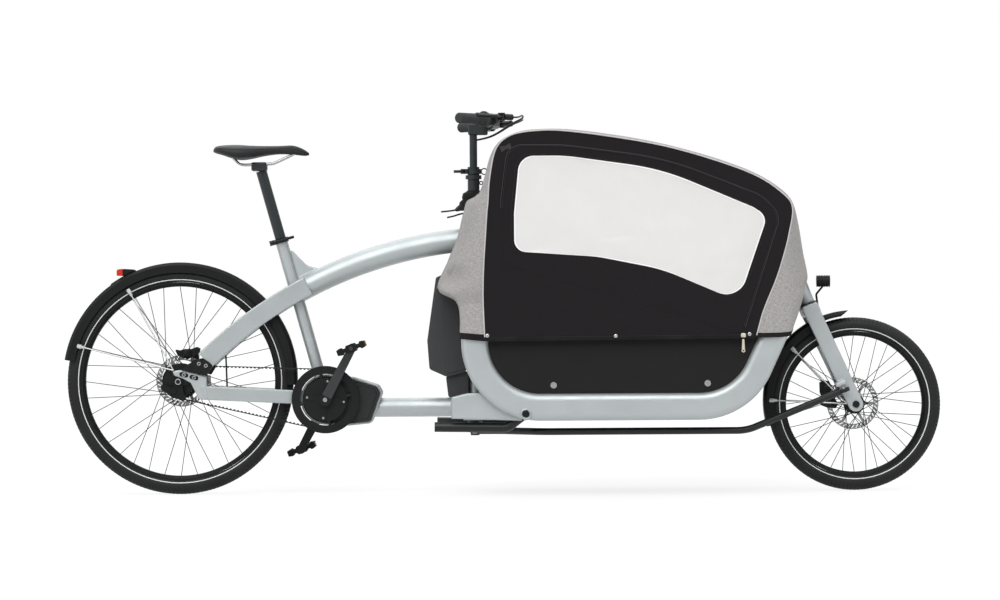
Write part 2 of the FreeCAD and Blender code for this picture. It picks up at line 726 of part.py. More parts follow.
stay_front_x = 372.0
chain_rear = (66.0, rear_z - 32.5)
chain_front = (crank_x - motor_r - cradle_t + 14, 278.0)
dropout_points = above_axle([(-17, 29.5), (5, 33.5), (81, 14.5), (82, -50.5), (59, -50.5), (36, -3.5),
                             (14, 8.5), (-11, 17.5)])
slot_bolts = above_axle([(16, 19.5), (45, 11.5)])
splice_bolts = above_axle([(60, 51.5), (80, 45.5), (36, 37.5), (60, 28.5)])
stays = []
bolt_list = []
for side in SIDES:
    rear_y, front_y, t = stay_y_rear, stay_y_front, stay_t / 2
    slab = plan_prism([(0, side * (rear_y - t + 0.4)), (stay_rear_x, side * (rear_y - t)),
                       (stay_front_x + 20, side * (front_y - t - 7)), (stay_front_x + 20, side * (front_y + t - 7)),
                       (stay_rear_x, side * (rear_y + t)), (0, side * (rear_y + t + 0.4))], 0, 100, 900)
    stay = arch_band(stay_rear_x, stay_front_x, stay_height, -150, 150).common(slab)
    stay = stay.cut([whole_tube, seat_hole])
    stays.append(max(stay.Solids, key=lambda s: s.Volume))
    half = chain_stay_height / 2
    chain = side_prism([(chain_rear[0], chain_rear[1] - half), (chain_front[0], chain_front[1] - half),
                        (chain_front[0], chain_front[1] + half), (chain_rear[0], chain_rear[1] + half)], 0, -150, 150)
    chain_slab = plan_prism([(40, side * (rear_y - t + 3)), (chain_front[0], side * (front_y - t)),
                             (chain_front[0], side * (front_y + t)), (40, side * (rear_y + t + 3))], 0, 100, 900)
    chain = chain.common(chain_slab)
    plate = side_prism(dropout_points, [3, 3, 4, 3, 3, 12, 20, 2], side * slider_y1, side * dropout_y1)
    for sx, sz in slot_bolts:
        plate = plate.cut(across(sx, sz, side * 60, side * 100, 3.0 + running))
    chain = chain.fuse(plate).cut(motor_block(motor_half_width + 5, cradle_t + seat))
    stays.append(max(chain.removeSplitter().Solids, key=lambda s: s.Volume))
save("rear_stays", stays)

plates = []
stay_face = stay_y_rear + stay_t / 2 + 0.4 + seat
for side in SIDES:
    splice = side_prism(above_axle([(6, 34.5), (51, 64.5), (84, 59.5), (100, 45.5), (82, 16.5)]),
                        [3, 6, 4, 6, 4], side * stay_face, side * (stay_face + splice_t))
    slider = side_prism(above_axle([(-13, -13), (13, -13), (56, 5.5), (50, 23.5), (8, 26.5), (-13, 8)]),
                        [9, 9, 5, 5, 5, 9], side * slider_y0, side * slider_y1)
    slider = slider.cut(across(0, rear_z, -axle_end, axle_end, axle_r + seat))
    for sx, sz in slot_bolts:
        slider = slider.cut(across(sx, sz, side * 60, side * 100, 3.0 + running))
    for sx, sz in splice_bolts:
        splice = splice.cut(across(sx, sz, side * 60, side * 110, 3.0 + running))
    plates += [splice, slider]
    for sx, sz in slot_bolts:
        head = across(sx, sz, side * dropout_y1, side * (dropout_y1 + 3), 5.5)
        bolt_list.append(head.fuse(across(sx, sz, side * slider_y0, side * dropout_y1, 3.0)))
    for sx, sz in splice_bolts:
        head = across(sx, sz, side * (stay_face + splice_t), side * (stay_face + splice_t + 3), 5.5)
        bolt_list.append(head.fuse(across(sx, sz, side * (stay_face + 0.1), side * (stay_face + splice_t), 3.0)))
save("dropout_plates", plates)

top_cross_z = rail_rear_top - 24
column_tube = bored(V(column_x, 0, column_tube_base), V(column_x, 0, column_tube_top), column_tube_r,
                    column_tube_bore)
for side in SIDES:
    inner = side * (rail_y - rail_width / 2 - seat)
    reach = across(column_x, top_cross_z, 0, inner, beam_r - 3)
    column_tube = column_tube.fuse(reach.cut(cyl(V(column_x, 0, 400), V(column_x, 0, 600), column_tube_bore)))
save("column_tube", [column_tube.removeSplitter()])

# Cargo rails, front head tube, boards and their bolts
lean = radians(rail_lean)
front_top = V(rail_front_x + (rail_front_top - rail_z) * tan(lean), 0, rail_front_top)
rail_route = [V(rail_rear_x, 0, rail_rear_top), V(rail_rear_x, 0, rail_z), V(rail_front_x, 0, rail_z),
              front_top]
rail_path = bent_path(rail_route, rail_bend)
half_h, half_w = rail_height / 2, rail_width / 2


def rail_bar(inset):
    """The rail's flat-sided round section, drawn in by its wall, along the whole rail."""
    h, w = half_h - inset, half_w - inset
    corners = [V(rail_rear_x + x, y, rail_rear_top) for x, y in ((-h, -w), (h, -w), (h, w), (-h, w))]
    return rail_path.makePipeShell([rounded(corners, w - 3)], True, False)


rail = rail_bar(0).cut(rail_bar(rail_wall))
pivot_hole = across(stand_x, stand_z, -100, 100, stand_pin_r + running)
rail = rail.cut(pivot_hole)
rails = []
for side in SIDES:
    copy = rail.copy()
    copy.translate(V(0, side * rail_y, 0))
    rails.append(copy)
save("side_rails", rails)

head_dir = V(-sin(radians(head_tilt)), 0, cos(radians(head_tilt)))
crown = V(crown_x, 0, crown_z)
head_low = crown + head_dir * 3
head_high = head_low + head_dir * head_tube_length
head_tube = cyl(head_low, head_high, head_tube_r)
beam_mid = crown + head_dir * 72
for side in SIDES:
    beam_end = V(front_top.x - 12, side * (rail_y - rail_width / 2 - seat), rail_front_top - 22)
    beam = cyl(beam_mid, V(beam_end.x, beam_end.y + side * 40, beam_end.z - 14), beam_r)
    head_tube = head_tube.fuse(beam.cut(rails[0 if side < 0 else 1]))
head_tube = max(head_tube.removeSplitter().Solids, key=lambda s: s.Volume)
keep = box(1500, 2000, -rail_y + rail_width / 2 + seat, rail_y - rail_width / 2 - seat, 300, 800)
head_tube = head_tube.common(keep)
head_tube = head_tube.cut(cyl(head_low - head_dir * 5, head_high + head_dir * 5, steerer_r + 3))
save("front_head_tube", [max(head_tube.removeSplitter().Solids, key=lambda s: s.Volume)])
bearing_t = 8.0
bearings = []
for low in (head_low, head_high - head_dir * bearing_t):
    bearings.append(bored(low, low + head_dir * bearing_t, steerer_r + 3 - seat, steerer_r + running))
for low in (column_tube_base, column_tube_top - bearing_t):
    bearings.append(bored(V(column_x, 0, low), V(column_x, 0, low + bearing_t), column_tube_bore - seat,
                          shaft_r + running))
save("headset_bearings", bearings)

inner_half = rail_y - rail_width / 2 - gap
leg = V(sin(lean), 0, cos(lean))
normal = V(-cos(lean), 0, sin(lean))
corner = V(rail_front_x, 0, rail_z)


def leg_point(z, aside):
    """A point on a line beside the rails' leaning front leg."""
    base = corner + normal * aside
    return base + leg * ((z - base.z) / leg.z)


edge = rail_height / 2 + gap
inner_bend = rail_bend - edge
panel_points = [(rail_rear_x + edge, panel_top), (rail_rear_x + edge, rail_z + edge),
                (leg_point(rail_z + edge, edge).x, rail_z + edge), (leg_point(panel_top, edge).x, panel_top)]
panels = []
for side in SIDES:
    panels.append(side_prism(panel_points, [0, inner_bend, inner_bend, 0], side * rail_y - panel_t / 2,
                             side * rail_y + panel_t / 2))
back_x = column_x + junction_r + gap
panels.append(box(back_x, back_x + panel_t, -inner_half, inner_half, floor_z, panel_top))
floor_end = rail_front_x + 4
low_front = V(floor_end, 0, floor_z)
bend_end = leg_point(rail_z + 108, 0)
front_board = [(low_front.x - panel_t, low_front.z), (low_front.x, low_front.z), (bend_end.x, bend_end.z),
               (leg_point(front_board_top, 0).x, front_board_top),
               (leg_point(front_board_top, panel_t).x, front_board_top),
               (leg_point(bend_end.z + 3, panel_t).x, bend_end.z + 3)]
panels.append(side_prism(front_board, 0, -inner_half, inner_half))
save("box_panels", panels)
cargo_floor = box(back_x + panel_t, floor_end - panel_t, -inner_half, inner_half, floor_z, floor_z + floor_t)
save("cargo_floor", [cargo_floor])
for side in SIDES:
    for bx, bz in ((1074.0, 314.0), (1508.0, 317.0)):
        face = side * (rail_y + panel_t / 2)
        bolt_list.append(across(bx, bz, face, face + side * 4, 9))
save("frame_bolts", bolt_list)

# Battery and its dock
battery_points = [(714, 439), (740, arch_top - 113), (763, arch_top - 103), (826, arch_top - 122), (826, 350),
                  (769, 335), (720, 357)]
save("battery", [side_prism(battery_points, [30, 8, 8, 8, 6, 12, 12], -45, 45)])
dock_x = column_x - column_tube_r - seat
dock_z = junction_z1 + seat
dock_points = [(767, 334.2), (825, 349.4), (dock_x, 349.4), (dock_x, dock_z), (774, dock_z)]
save("battery_mount", [side_prism(dock_points, [4, 0, 0, 4, 6], -30, 30)])

# Rear mudguard, rear light and rear brake
guard_z = rear_z + rear_guard_lift
guard = mudguard(0, guard_z, rear_guard_r, rear_guard_start, rear_guard_end)
wires = []
for side in SIDES:
    pair = []
    for turn, inset in ((119.5, 41.0), (161.4, 30.0)):
        wx, wz = polar(0, guard_z, rear_guard_r - inset, turn)
        foot = V(-14, side * (slider_y1 + dropout_t / 2), rear_z + 32.1)
        tip = V(wx, side * (guard_half_width + wire_r + 0.2), wz)
        pair.append(cyl(foot, tip, wire_r))
    wires.append(pair[0].fuse(pair[1]).removeSplitter())
save("rear_mudguard", [guard] + wires)
light_x, light_z = polar(0, guard_z, rear_guard_r, light_turn)
body_shape = [(-1.2, 1.7), (-1.2, 23.7), (29.8, 21.7), (35.8, 14.7), (31.8, 9.7)]
lens_shape = [(-19.2, 3.7), (-19.2, 21.7), (-2.2, 23.7), (-2.2, 2.7)]
light_body = side_prism([(light_x + x, light_z + z) for x, z in body_shape], [1, 5, 5, 4, 2], -22, 22)
light_lens = side_prism([(light_x + x, light_z + z) for x, z in lens_shape], [3, 6, 1, 1], -24, 24)
guard_drum = across(0, guard_z, -50, 50, rear_guard_r + seat)
strip_drum = across(0, guard_z, -50, 50, rear_guard_r + seat + strip_t)
light_body = light_body.cut(strip_drum)
light_lens = light_lens.cut(strip_drum)
foot_region = box(light_x - 38, light_x + 34, -9, 9, light_z - 70, light_z + 70)
light_foot = strip_drum.cut(guard_drum).common(foot_region)
save("rear_light", [light_body, light_lens, light_foot.Solids[0]])
rear_caliper = caliper(14, rear_z + rotor_r + 1.5, rear_disc_y, (70, 40), 20)
rear_caliper = rear_caliper.cut(across(0, rear_z, rear_disc_y - 2, rear_disc_y + 2, rotor_r + 2))
post_mount = box(26, 48, rear_disc_y + 8, stay_face - seat, rear_z + 39.5, rear_z + 59.5)
rear_caliper = rear_caliper.fuse(post_mount)
save("rear_brake_caliper", [rear_caliper.removeSplitter()])

# Seat clamp, seat post and saddle
clamp_low = seat_axis(seat_tube_top - 9)
clamp_high = seat_axis(seat_tube_top + 4)
seat_up = (clamp_high - clamp_low).normalize()
seat_back = V(-seat_up.z, 0, seat_up.x)
seat_clamp = cyl(clamp_low, clamp_high, seat_tube_r + 4)
lug_half = cam_eye_half + gap + 2.4
cam_pin = clamp_low + seat_up * lug_half + seat_back * (seat_tube_r + 10) - ALONG_Y * cam_aside
ear = box(-cam_eye_r, 8, -cam_aside - cam_eye_r + 0.5, 9, -lug_half, lug_half)
ear.rotate(V(0, 0, 0), ALONG_Y, -seat_tube_lean)
ear.translate(cam_pin + ALONG_Y * cam_aside)
pin_bar, cam_slot, cam_eye, cam_bore = eye_joint(cam_pin, seat_up, cam_pin_r, cam_eye_r, cam_eye_half,
                                                 lug_half)
seat_clamp = seat_clamp.fuse(ear).cut(cyl(seat_base, seat_axis(seat_tube_top + 60), seat_tube_r + seat))
seat_clamp = seat_clamp.cut(cam_slot).fuse(pin_bar)
save("seat_clamp", [seat_clamp.removeSplitter()])
lever_y = -ALONG_Y * (seat_tube_r + 12 - cam_aside)
lever_bar = bent_tube([cam_pin, cam_pin + lever_y, cam_pin + lever_y - seat_back * 52,
                       cam_pin + lever_y * 0.6 - seat_back * 66], [5, 12], cam_eye_half)
save("seat_clamp_lever", [cam_eye.fuse(lever_bar).cut(cam_bore).removeSplitter()])

head_z = 944.0
post = cyl(seat_axis(seat_tube_top - 220), seat_axis(head_z - 12), post_r)
head_half = saddle_gauge + saddle_rail_r + 3
head_x = seat_axis(head_z).x
post_head = box(head_x - 24, head_x + 20, -head_half, head_half, head_z - 12, head_z + 13)
post_head = post_head.makeFillet(5, post_head.Edges)


def saddle_rail(side, radius):
    """One saddle rail, clamped along its middle and rising to the shell at both ends."""
    y = side * saddle_gauge
    points = [V(146, y * 1.25, 985), V(178, y, 950), V(270, y, 953), V(348, y * 0.4, 992)]
    return bent_tube(points, 20, radius)


grooves = [saddle_rail(side, saddle_rail_r + seat) for side in SIDES]
save("seat_post", [post.fuse(post_head).cut(grooves).removeSplitter()])
saddle_sections = ((100, 24, 984, 1000), (122, 66, 972, 1006), (165, 80, 962, 1009), (215, 70, 962, 1007),
                   (270, 40, 970, 1006), (320, 22, 973, 1006), (360, 16, 972, 996), (377, 8, 974, 984))


def saddle_ring(x, half, low, high):
    """A saddle cross-section: flat below, drawn in at the skirts, crowned on top."""
    crown_arc = Part.Arc(V(x, half * 0.92, high - (high - low) * 0.35), V(x, 0, high),
                         V(x, -half * 0.92, high - (high - low) * 0.35)).toShape()
    left = Part.Arc(V(x, half * 0.86, low), V(x, half, (low + high) / 2 - 2),
                    V(x, half * 0.92, high - (high - low) * 0.35)).toShape()
    right = Part.Arc(V(x, -half * 0.92, high - (high - low) * 0.35), V(x, -half, (low + high) / 2 - 2),
                     V(x, -half * 0.86, low)).toShape()
    base = Part.makeLine(V(x, -half * 0.86, low), V(x, half * 0.86, low))
    return Part.Wire([left, crown_arc, right, base])


saddle = Part.makeLoft([saddle_ring(*s) for s in saddle_sections], True, False)
hollow = side_prism([(140, 950), (140, 974), (180, 976), (345, 984), (345, 950)], 0, -34, 34)
saddle = saddle.cut(hollow)
saddle_rails = []
for side in SIDES:
    saddle_rails.append(max(saddle_rail(side, saddle_rail_r).cut(saddle).Solids, key=lambda s: s.Volume))
save("saddle", [saddle] + saddle_rails)

# Steering column, arm, rod and fork
arm_ball = V(column_x, -arm_r * cos(radians(head_tilt)), rod_z)
arm_z = rod_z + 16
shaft = bored(V(column_x, 0, rod_z - 16), V(column_x, 0, sleeve_top - 10), shaft_r, shaft_bore)
shaft = shaft.fuse(bored(V(column_x, 0, sleeve_base), V(column_x, 0, sleeve_top), sleeve_r, shaft_bore))
skirt_foot = V(column_x, 0, sleeve_base - 3)
shaft = shaft.fuse(bored(skirt_foot, skirt_foot + ALONG_Z * 17, sleeve_r + 12, shaft_bore))
collar_half = cam_eye_half + gap + 2.4
collar_z = sleeve_top - 13
collar_r = sleeve_r + 5
collar = cyl(V(column_x, 0, collar_z - collar_half), V(column_x, 0, collar_z + collar_half), collar_r)
collar_pin = V(column_x - collar_r - 9, -cam_aside, collar_z)
collar_bar, collar_slot, collar_eye, collar_bore = eye_joint(collar_pin, ALONG_Z, cam_pin_r, cam_eye_r,
                                                             cam_eye_half, collar_half)
lug = box(collar_pin.x - cam_eye_r, column_x - sleeve_r, -cam_aside - cam_eye_r + 0.5, 9,
          collar_z - collar_half, collar_z + collar_half)
collar = collar.fuse(lug).cut([collar_slot, cyl(V(column_x, 0, 800), V(column_x, 0, 1000), shaft_bore)])
flange = bored(V(column_x, 0, collar_z - 22), V(column_x, 0, collar_z - 11), sleeve_r + 6, shaft_bore)
rings = []
for ring_r, wire, ring_z in ((8.5, 1.8, collar_z), (4.6, 1.6, collar_z - 33)):
    ring_x = column_x + (collar_r if ring_z == collar_z else sleeve_r) + ring_r + wire - 1.5
    rings.append(Part.makeTorus(ring_r, wire, V(ring_x, 0, ring_z), ALONG_Y))
shaft = shaft.fuse([collar, collar_bar, flange] + rings)
arm = box(column_x - 13, column_x + 13, arm_ball.y - 12, 0, arm_z, arm_z + 9)
arm = arm.fuse(cyl(V(column_x, 0, arm_z), V(column_x, 0, arm_z + 9), shaft_r + 8))
arm = arm.cut(cyl(V(column_x, 0, 100), V(column_x, 0, 300), shaft_bore))
stud = cyl(V(column_x, arm_ball.y, rod_z - 12), V(column_x, arm_ball.y, arm_z + 3), stud_r)
save("steering_column", [shaft.fuse([arm, stud]).removeSplitter()])
ball = Part.makeSphere(rod_ball_r, arm_ball).common(
    cyl(arm_ball - ALONG_Z * 7.5, arm_ball + ALONG_Z * 7.5, rod_ball_r))
save("tie_rod_ball", [ball.cut(cyl(arm_ball - ALONG_Z * 20, arm_ball + ALONG_Z * 20, stud_r + running))])


def steer_axis_x(z):
    """Where the fork's steering axis stands at a height."""
    return crown_x + (crown_z - z) * tan(radians(head_tilt))


front_ball = V(steer_axis_x(front_ball_z), -arm_r, front_ball_z)
rod_route = [arm_ball + V(rod_eye_r - 2, 0, 0), arm_ball + V(70, 0, 0), V(column_x + 190, -rod_bow_y, rod_z),
             V(1622, -rod_bow_y, rod_z), front_ball + V(-70, -27, -26),
             front_ball + V(-rod_eye_r - 0.5, -4, -4)]
rod = bent_tube(rod_route, [60, 90, 110, 60], rod_r)
rear_eye = cyl(arm_ball - ALONG_Z * (rod_eye_t / 2), arm_ball + ALONG_Z * (rod_eye_t / 2), rod_eye_r)
front_eye_r = rod_eye_r + front_ball_play
front_eye = cyl(front_ball - head_dir * (rod_eye_t / 2), front_ball + head_dir * (rod_eye_t / 2), front_eye_r)
rod = rod.fuse([rear_eye, front_eye])
rod = rod.cut([Part.makeSphere(rod_ball_r + gap, arm_ball),
               Part.makeSphere(rod_ball_r + front_ball_play, front_ball)])
save("tie_rod", [max(rod.removeSplitter().Solids, key=lambda s: s.Volume)])

front_axle_point = V(front_x, 0, front_z)
down = (front_axle_point - crown).normalize()
blade_normal = V(down.z, 0, -down.x)
half_blade = blade_width / 2
blades = []
for side in SIDES:
    y0 = side * blade_y - blade_t / 2
    top = crown - head_dir * (crown_depth - 8)
    corners = [top + blade_normal * half_blade, top - blade_normal * half_blade,
               front_axle_point - blade_normal * (half_blade - 2),
               front_axle_point + blade_normal * (half_blade - 2)]
    blade = side_prism([(p.x, p.z) for p in corners], 0, y0, y0 + blade_t)
    blade = blade.fuse(across(front_x, front_z, y0, y0 + blade_t, half_blade - 2))
    blades.append(blade)
crown_half = blade_y + blade_t / 2
crown_block = box(-half_blade - 1, half_blade + 1, -crown_half, crown_half, -crown_depth, 0)
crown_edges = [e for e in crown_block.Edges if abs(e.tangentAt(e.FirstParameter).y) > 0.9]
crown_block = crown_block.makeFillet(8, crown_edges)
crown_block.rotate(V(0, 0, 0), ALONG_Y, -head_tilt)
crown_block.translate(crown)
steerer = cyl(crown - head_dir * 10, head_high + head_dir * 6, steerer_r)
bracket_mid = front_ball + head_dir * 22
bracket = box(-16, 14, -arm_r - 12, -crown_half + 4, -6, 6)
bracket.rotate(V(0, 0, 0), ALONG_Y, -head_tilt)
bracket.translate(V(bracket_mid.x, 0, bracket_mid.z))
front_stud = cyl(front_ball - head_dir * 4, bracket_mid, stud_r)
front_knob = Part.makeSphere(rod_ball_r, front_ball)
fork = crown_block.fuse(blades + [steerer, bracket, front_stud, front_knob])
fork = fork.cut(across(front_x, front_z, -100, 100, axle_r + seat))
save("fork", [fork.removeSplitter()])
front_axle_half = crown_half + 2
front_axle = across(front_x, front_z, -front_axle_half, front_axle_half, axle_r)
for side in SIDES:
    front_axle = front_axle.fuse(across(front_x, front_z, side * crown_half, side * (crown_half + 6), nut_r))
save("front_axle", [front_axle.removeSplitter()])

caliper_mid = front_axle_point - down * 58 + blade_normal * 56
front_caliper = caliper(caliper_mid.x, caliper_mid.z, front_disc_y, (38, 58), 20)
front_caliper = front_caliper.cut(across(front_x, front_z, front_disc_y - 2, front_disc_y + 2, rotor_r + 2))
mount_y = front_disc_y + 13.5
mount_bar = cyl(V(caliper_mid.x, mount_y, caliper_mid.z + 6),
                V(front_x - 15, mount_y + 2, caliper_mid.z + 6), 5)
disc_sweep = across(front_x, front_z, 20, front_disc_y + 2, rotor_r + 2)
front_caliper = front_caliper.fuse(mount_bar).cut([blades[1], disc_sweep])
save("front_brake_caliper", [max(front_caliper.removeSplitter().Solids, key=lambda s: s.Volume)])

front_guard_z = front_z + front_guard_lift
front_guard = mudguard(front_x, front_guard_z, front_guard_r, front_guard_start, front_guard_end)
tip_x, tip_z = polar(front_x, front_guard_z, front_guard_r, front_guard_start)
ahead = box(crown_x + 40, tip_x + 20, -50, 50, crown_z - 150, crown_z + 50)
below_skirt = across(front_x, front_guard_z, -50, 50, front_guard_r - front_skirt).common(ahead)
slant = side_prism([(tip_x + 1, tip_z + 3), (tip_x + 1, tip_z - 40), (tip_x - 24, tip_z - 40),
                    (tip_x - 24, tip_z - 17)], 0, -50, 50)
front_guard = front_guard.cut([below_skirt, slant])
front_wires = []
for side in SIDES:
    pair = []
    for turn, inset in ((139.6, 27.0), (179.0, 19.0)):
        wx, wz = polar(front_x, front_guard_z, front_guard_r - inset, turn)
        foot = V(front_x - half_blade - 3, side * (blade_y + 7), front_z + 2)
        tip = V(wx, side * (guard_half_width + wire_r + 0.2), wz)
        pair.append(cyl(foot, tip, wire_r))
    front_wires.append(pair[0].fuse(pair[1]).removeSplitter())
guard_tab_x, guard_tab_z = polar(front_x, front_guard_z, front_guard_r + 0.2, 115)
tab_top = crown - head_dir * (crown_depth + 0.2)
guard_tab = side_prism([(guard_tab_x - 10, guard_tab_z - 4.8), (guard_tab_x + 10, guard_tab_z + 4.8),
                        (tab_top.x + 10, tab_top.z + 3.8), (tab_top.x - 10, tab_top.z - 3.8)], 0, -14, 14)
save("front_mudguard", [front_guard, guard_tab] + front_wires)
lamp = cyl(V(1840, 0, 604), V(1877, 0, 604), 16).cut(cyl(V(1872, 0, 604), V(1878, 0, 604), 14))
lamp_foot = crown + V(half_blade + 6, 0, 4)
lamp_wire = bent_tube([V(lamp_foot.x, 0, lamp_foot.z - 4), V(lamp_foot.x - 4, 0, 566), V(1858, 0, 590)],
                      10, 3)
lamp = lamp.fuse(lamp_wire.cut(crown_block))
save("front_light", [lamp.removeSplitter()])

# Stem, handlebar and controls
post_top = bar_z - 6
stem_clamp_x = column_x + 42
bar_centre = V(stem_clamp_x, 0, bar_z)
stem = cyl(V(column_x, 0, sleeve_base - 120), V(column_x, 0, post_top), bar_post_r)
stem_body = box(column_x - 15, stem_clamp_x, -15, 15, bar_z - 30, bar_z + 4)
stem_body = stem_body.makeFillet(5, stem_body.Edges)
stem_clamp = across(stem_clamp_x, bar_z, -21, 21, clamp_r)
stem = stem.fuse([stem_body, stem_clamp]).cut(across(stem_clamp_x, bar_z, -60, 60, bar_r + seat))
save("stem", [stem.removeSplitter()])

grip_dir = V(-sin(radians(grip_sweep)), cos(radians(grip_sweep)), 0)
straight = grip_length + clamp_length + 24
grip_tip = V(column_x - 38, bar_half_width - 10, bar_z + 6)
grip_root = grip_tip - grip_dir * straight
bar_route = [V(stem_clamp_x, 0, bar_z), V(stem_clamp_x, 52, bar_z), grip_root, grip_tip]
bar_left = bent_tube(bar_route, [45, 42], bar_r)
save("handlebar", [bar_left.fuse(mirrored(bar_left)).removeSplitter()])


def sleeve_on_bar(near, length, radius, bore):
    """A ring around the left grip's axis, at a distance from the bar's tip."""
    start = grip_tip - grip_dir * near
    return bored(start, start - grip_dir * length, radius, bore)


cap = cyl(grip_tip, grip_tip + grip_dir * 4, grip_r)
left_grip = sleeve_on_bar(0, grip_length, grip_r, bar_r + seat).fuse(cap).removeSplitter()
right_grip = mirrored(sleeve_on_bar(0, right_grip_length, grip_r, bar_r + seat).fuse(cap).removeSplitter())
save("grips", [left_grip, right_grip])
shifter = mirrored(sleeve_on_bar(right_grip_length + 1, shifter_length, shifter_r, bar_r + running))
save("twist_shifter", [shifter])
clamp_near = grip_length + 1
perch_dir = V(grip_dir.y, -grip_dir.x, 0)
perch_root = grip_tip - grip_dir * (clamp_near + clamp_length / 2) - ALONG_Z * lever_drop
lever_pivot = perch_root + perch_dir * lever_reach
perch = sleeve_on_bar(clamp_near, clamp_length, clamp_r, bar_r + seat)
perch_block = cyl(perch_root + perch_dir * (clamp_r - 3), lever_pivot, cheek_r - 1)
pivot_pin, hub_slot, lever_eye, eye_bore = eye_joint(lever_pivot, ALONG_Z, lever_pin_r, lever_eye_r, 5.7, 11)
cheeks = cyl(lever_pivot - ALONG_Z * 11, lever_pivot + ALONG_Z * 11, cheek_r)
reservoir = cyl(lever_pivot, lever_pivot - grip_dir * reservoir_length, cheek_r - 1)
perch = perch.fuse([perch_block, cheeks, reservoir]).cut(hub_slot).fuse(pivot_pin).removeSplitter()
save("brake_lever_clamps", [perch, mirrored(perch)])
lever_blade = bent_tube([lever_pivot, lever_pivot + grip_dir * 34 + perch_dir * 10,
                         lever_pivot + grip_dir * lever_length + perch_dir * 6], 40, 5)
lever = lever_eye.fuse(lever_blade).cut(eye_bore).removeSplitter()
save("brake_lever_left", [lever])
save("brake_lever_right", [mirrored(lever)])

hose_root = lever_pivot - grip_dir * (reservoir_length + seat)
hose_route = [hose_root, hose_root - grip_dir * 32, V(column_x + 140, 118, bar_z + 22),
              V(column_x + 146, 66, bar_z + 16), V(column_x + 112, 34, bar_z + 2), V(column_x + 60, 15, bar_z - 32),
              V(column_x + 24, 8, bar_z - 42), V(column_x + bar_post_r - 1, 6, bar_z - 44)]
hose = bent_tube(hose_route, [16, 30, 28, 28, 28, 12], hose_r)
hose = hose.cut(cyl(V(column_x, 0, 700), V(column_x, 0, post_top), bar_post_r + 0.05))
save("control_hoses", [hose, mirrored(hose)])

qr_lever = cyl(collar_pin, collar_pin - ALONG_X * column_lever_length, cam_eye_half - seat)
save("bar_clamp_lever", [collar_eye.fuse(qr_lever).cut(collar_bore).removeSplitter()])

# Stand
legs = []
for side in SIDES:
    y = side * stand_y
    route = [V(stand_x, y, stand_z), V(stand_x - 52, y, stand_z - stand_drop), V(stand_x - stand_length, y,
             stand_z - stand_drop + 3)]
    legs.append(bent_tube(route, 40, stand_r))
    legs.append(across(stand_x, stand_z, y - stand_r - 1, y + stand_r + 1, stand_boss_r))
    rail_face = rail_y + rail_width / 2 + gap
    legs.append(across(stand_x, stand_z, y, side * (rail_face + 3), stand_pin_r))
    legs.append(across(stand_x, stand_z, side * rail_face, side * (rail_face + 3), stand_pin_r + 3))
legs.append(across(stand_x, stand_z, -stand_y, stand_y, stand_r - 2))
stand = legs[0].fuse(legs[1:]).removeSplitter()
save("kickstand", [stand])

# Canopy: cloth cover, black sides, doors with panes, and bows
roof_outline = [(890, hem_z), (884, 720), (922, 1030), (1110, 1031), (1400, 990), (1690, 890), (1768, 808),
                (1645, hem_z)]
roof_radii = [0, 500, 75, 500, 900, 200, 40, 0]


def half_width_at(z, inset):
    return canopy_half_width - inset - canopy_lean * (z - hem_z)


def canopy_volume(inset):
    """The space under the cloth, drawn in by an even margin."""
    base = hem_z if inset == 0 else hem_z - 20
    top = 1060.0
    wedge_wire = Part.makePolygon([V(700, y, z) for y, z in (
        (-half_width_at(base, inset), base), (half_width_at(base, inset), base),
        (half_width_at(top, inset), top), (-half_width_at(top, inset), top),
        (-half_width_at(base, inset), base))])
    wedge = Part.Face(wedge_wire).extrude(V(1200, 0, 0))
    roof = Part.Face(rounded([V(x, -400, z) for x, z in roof_outline], roof_radii))
    if inset:
        roof = roof.makeOffset2D(-inset)
        skirt = box(890 + inset, 1645 - inset - 8, -400, 400, base, hem_z + 40)
        main = roof.extrude(V(0, 800, 0)).fuse(skirt)
    else:
        main = roof.extrude(V(0, 800, 0))
    main = main.common(wedge)

    def rear_ring(z, rear_x, rear_half):
        w = half_width_at(z, inset)
        ring = [V(900, -w, z), V(rear_x + inset, -rear_half + inset, z),
                V(rear_x + inset, rear_half - inset, z), V(900, w, z), V(900, -w, z)]
        return Part.makePolygon(ring)

    rear_levels = [(base, 808, 299), (512, 802, 298), (560, 780, 210), (598, 752, 120), (671, 781, 108),
                   (729, 806, 100), (803, 824, 90), (846 - inset, 860, 80)]
    rear = Part.makeLoft([rear_ring(*level) for level in rear_levels], True, True)

    def nose_ring(z, side_x, shoulder_x, front_x_):
        w = half_width_at(z, inset)
        arc = Part.Arc(V(shoulder_x - inset, -w + shoulder, z), V(front_x_ - inset, 0, z),
                       V(shoulder_x - inset, w - shoulder, z))
        return Part.Wire([Part.makeLine(V(side_x - 30, -w, z), V(side_x, -w, z)),
                          Part.makeLine(V(side_x, -w, z), V(shoulder_x - inset, -w + shoulder, z)),
                          arc.toShape(),
                          Part.makeLine(V(shoulder_x - inset, w - shoulder, z), V(side_x, w, z)),
                          Part.makeLine(V(side_x, w, z), V(side_x - 30, w, z)),
                          Part.makeLine(V(side_x - 30, w, z), V(side_x - 30, -w, z))])

    nose_levels = [(base, 1646, 1748, 1764), (525, 1670, 1758, 1786), (600, 1696, 1766, 1820),
                   (700, 1730, 1766, 1799), (790 - inset, 1758, 1770, 1784)]
    nose = Part.makeLoft([nose_ring(*level) for level in nose_levels], True, True)
    return main.fuse([rear, nose])


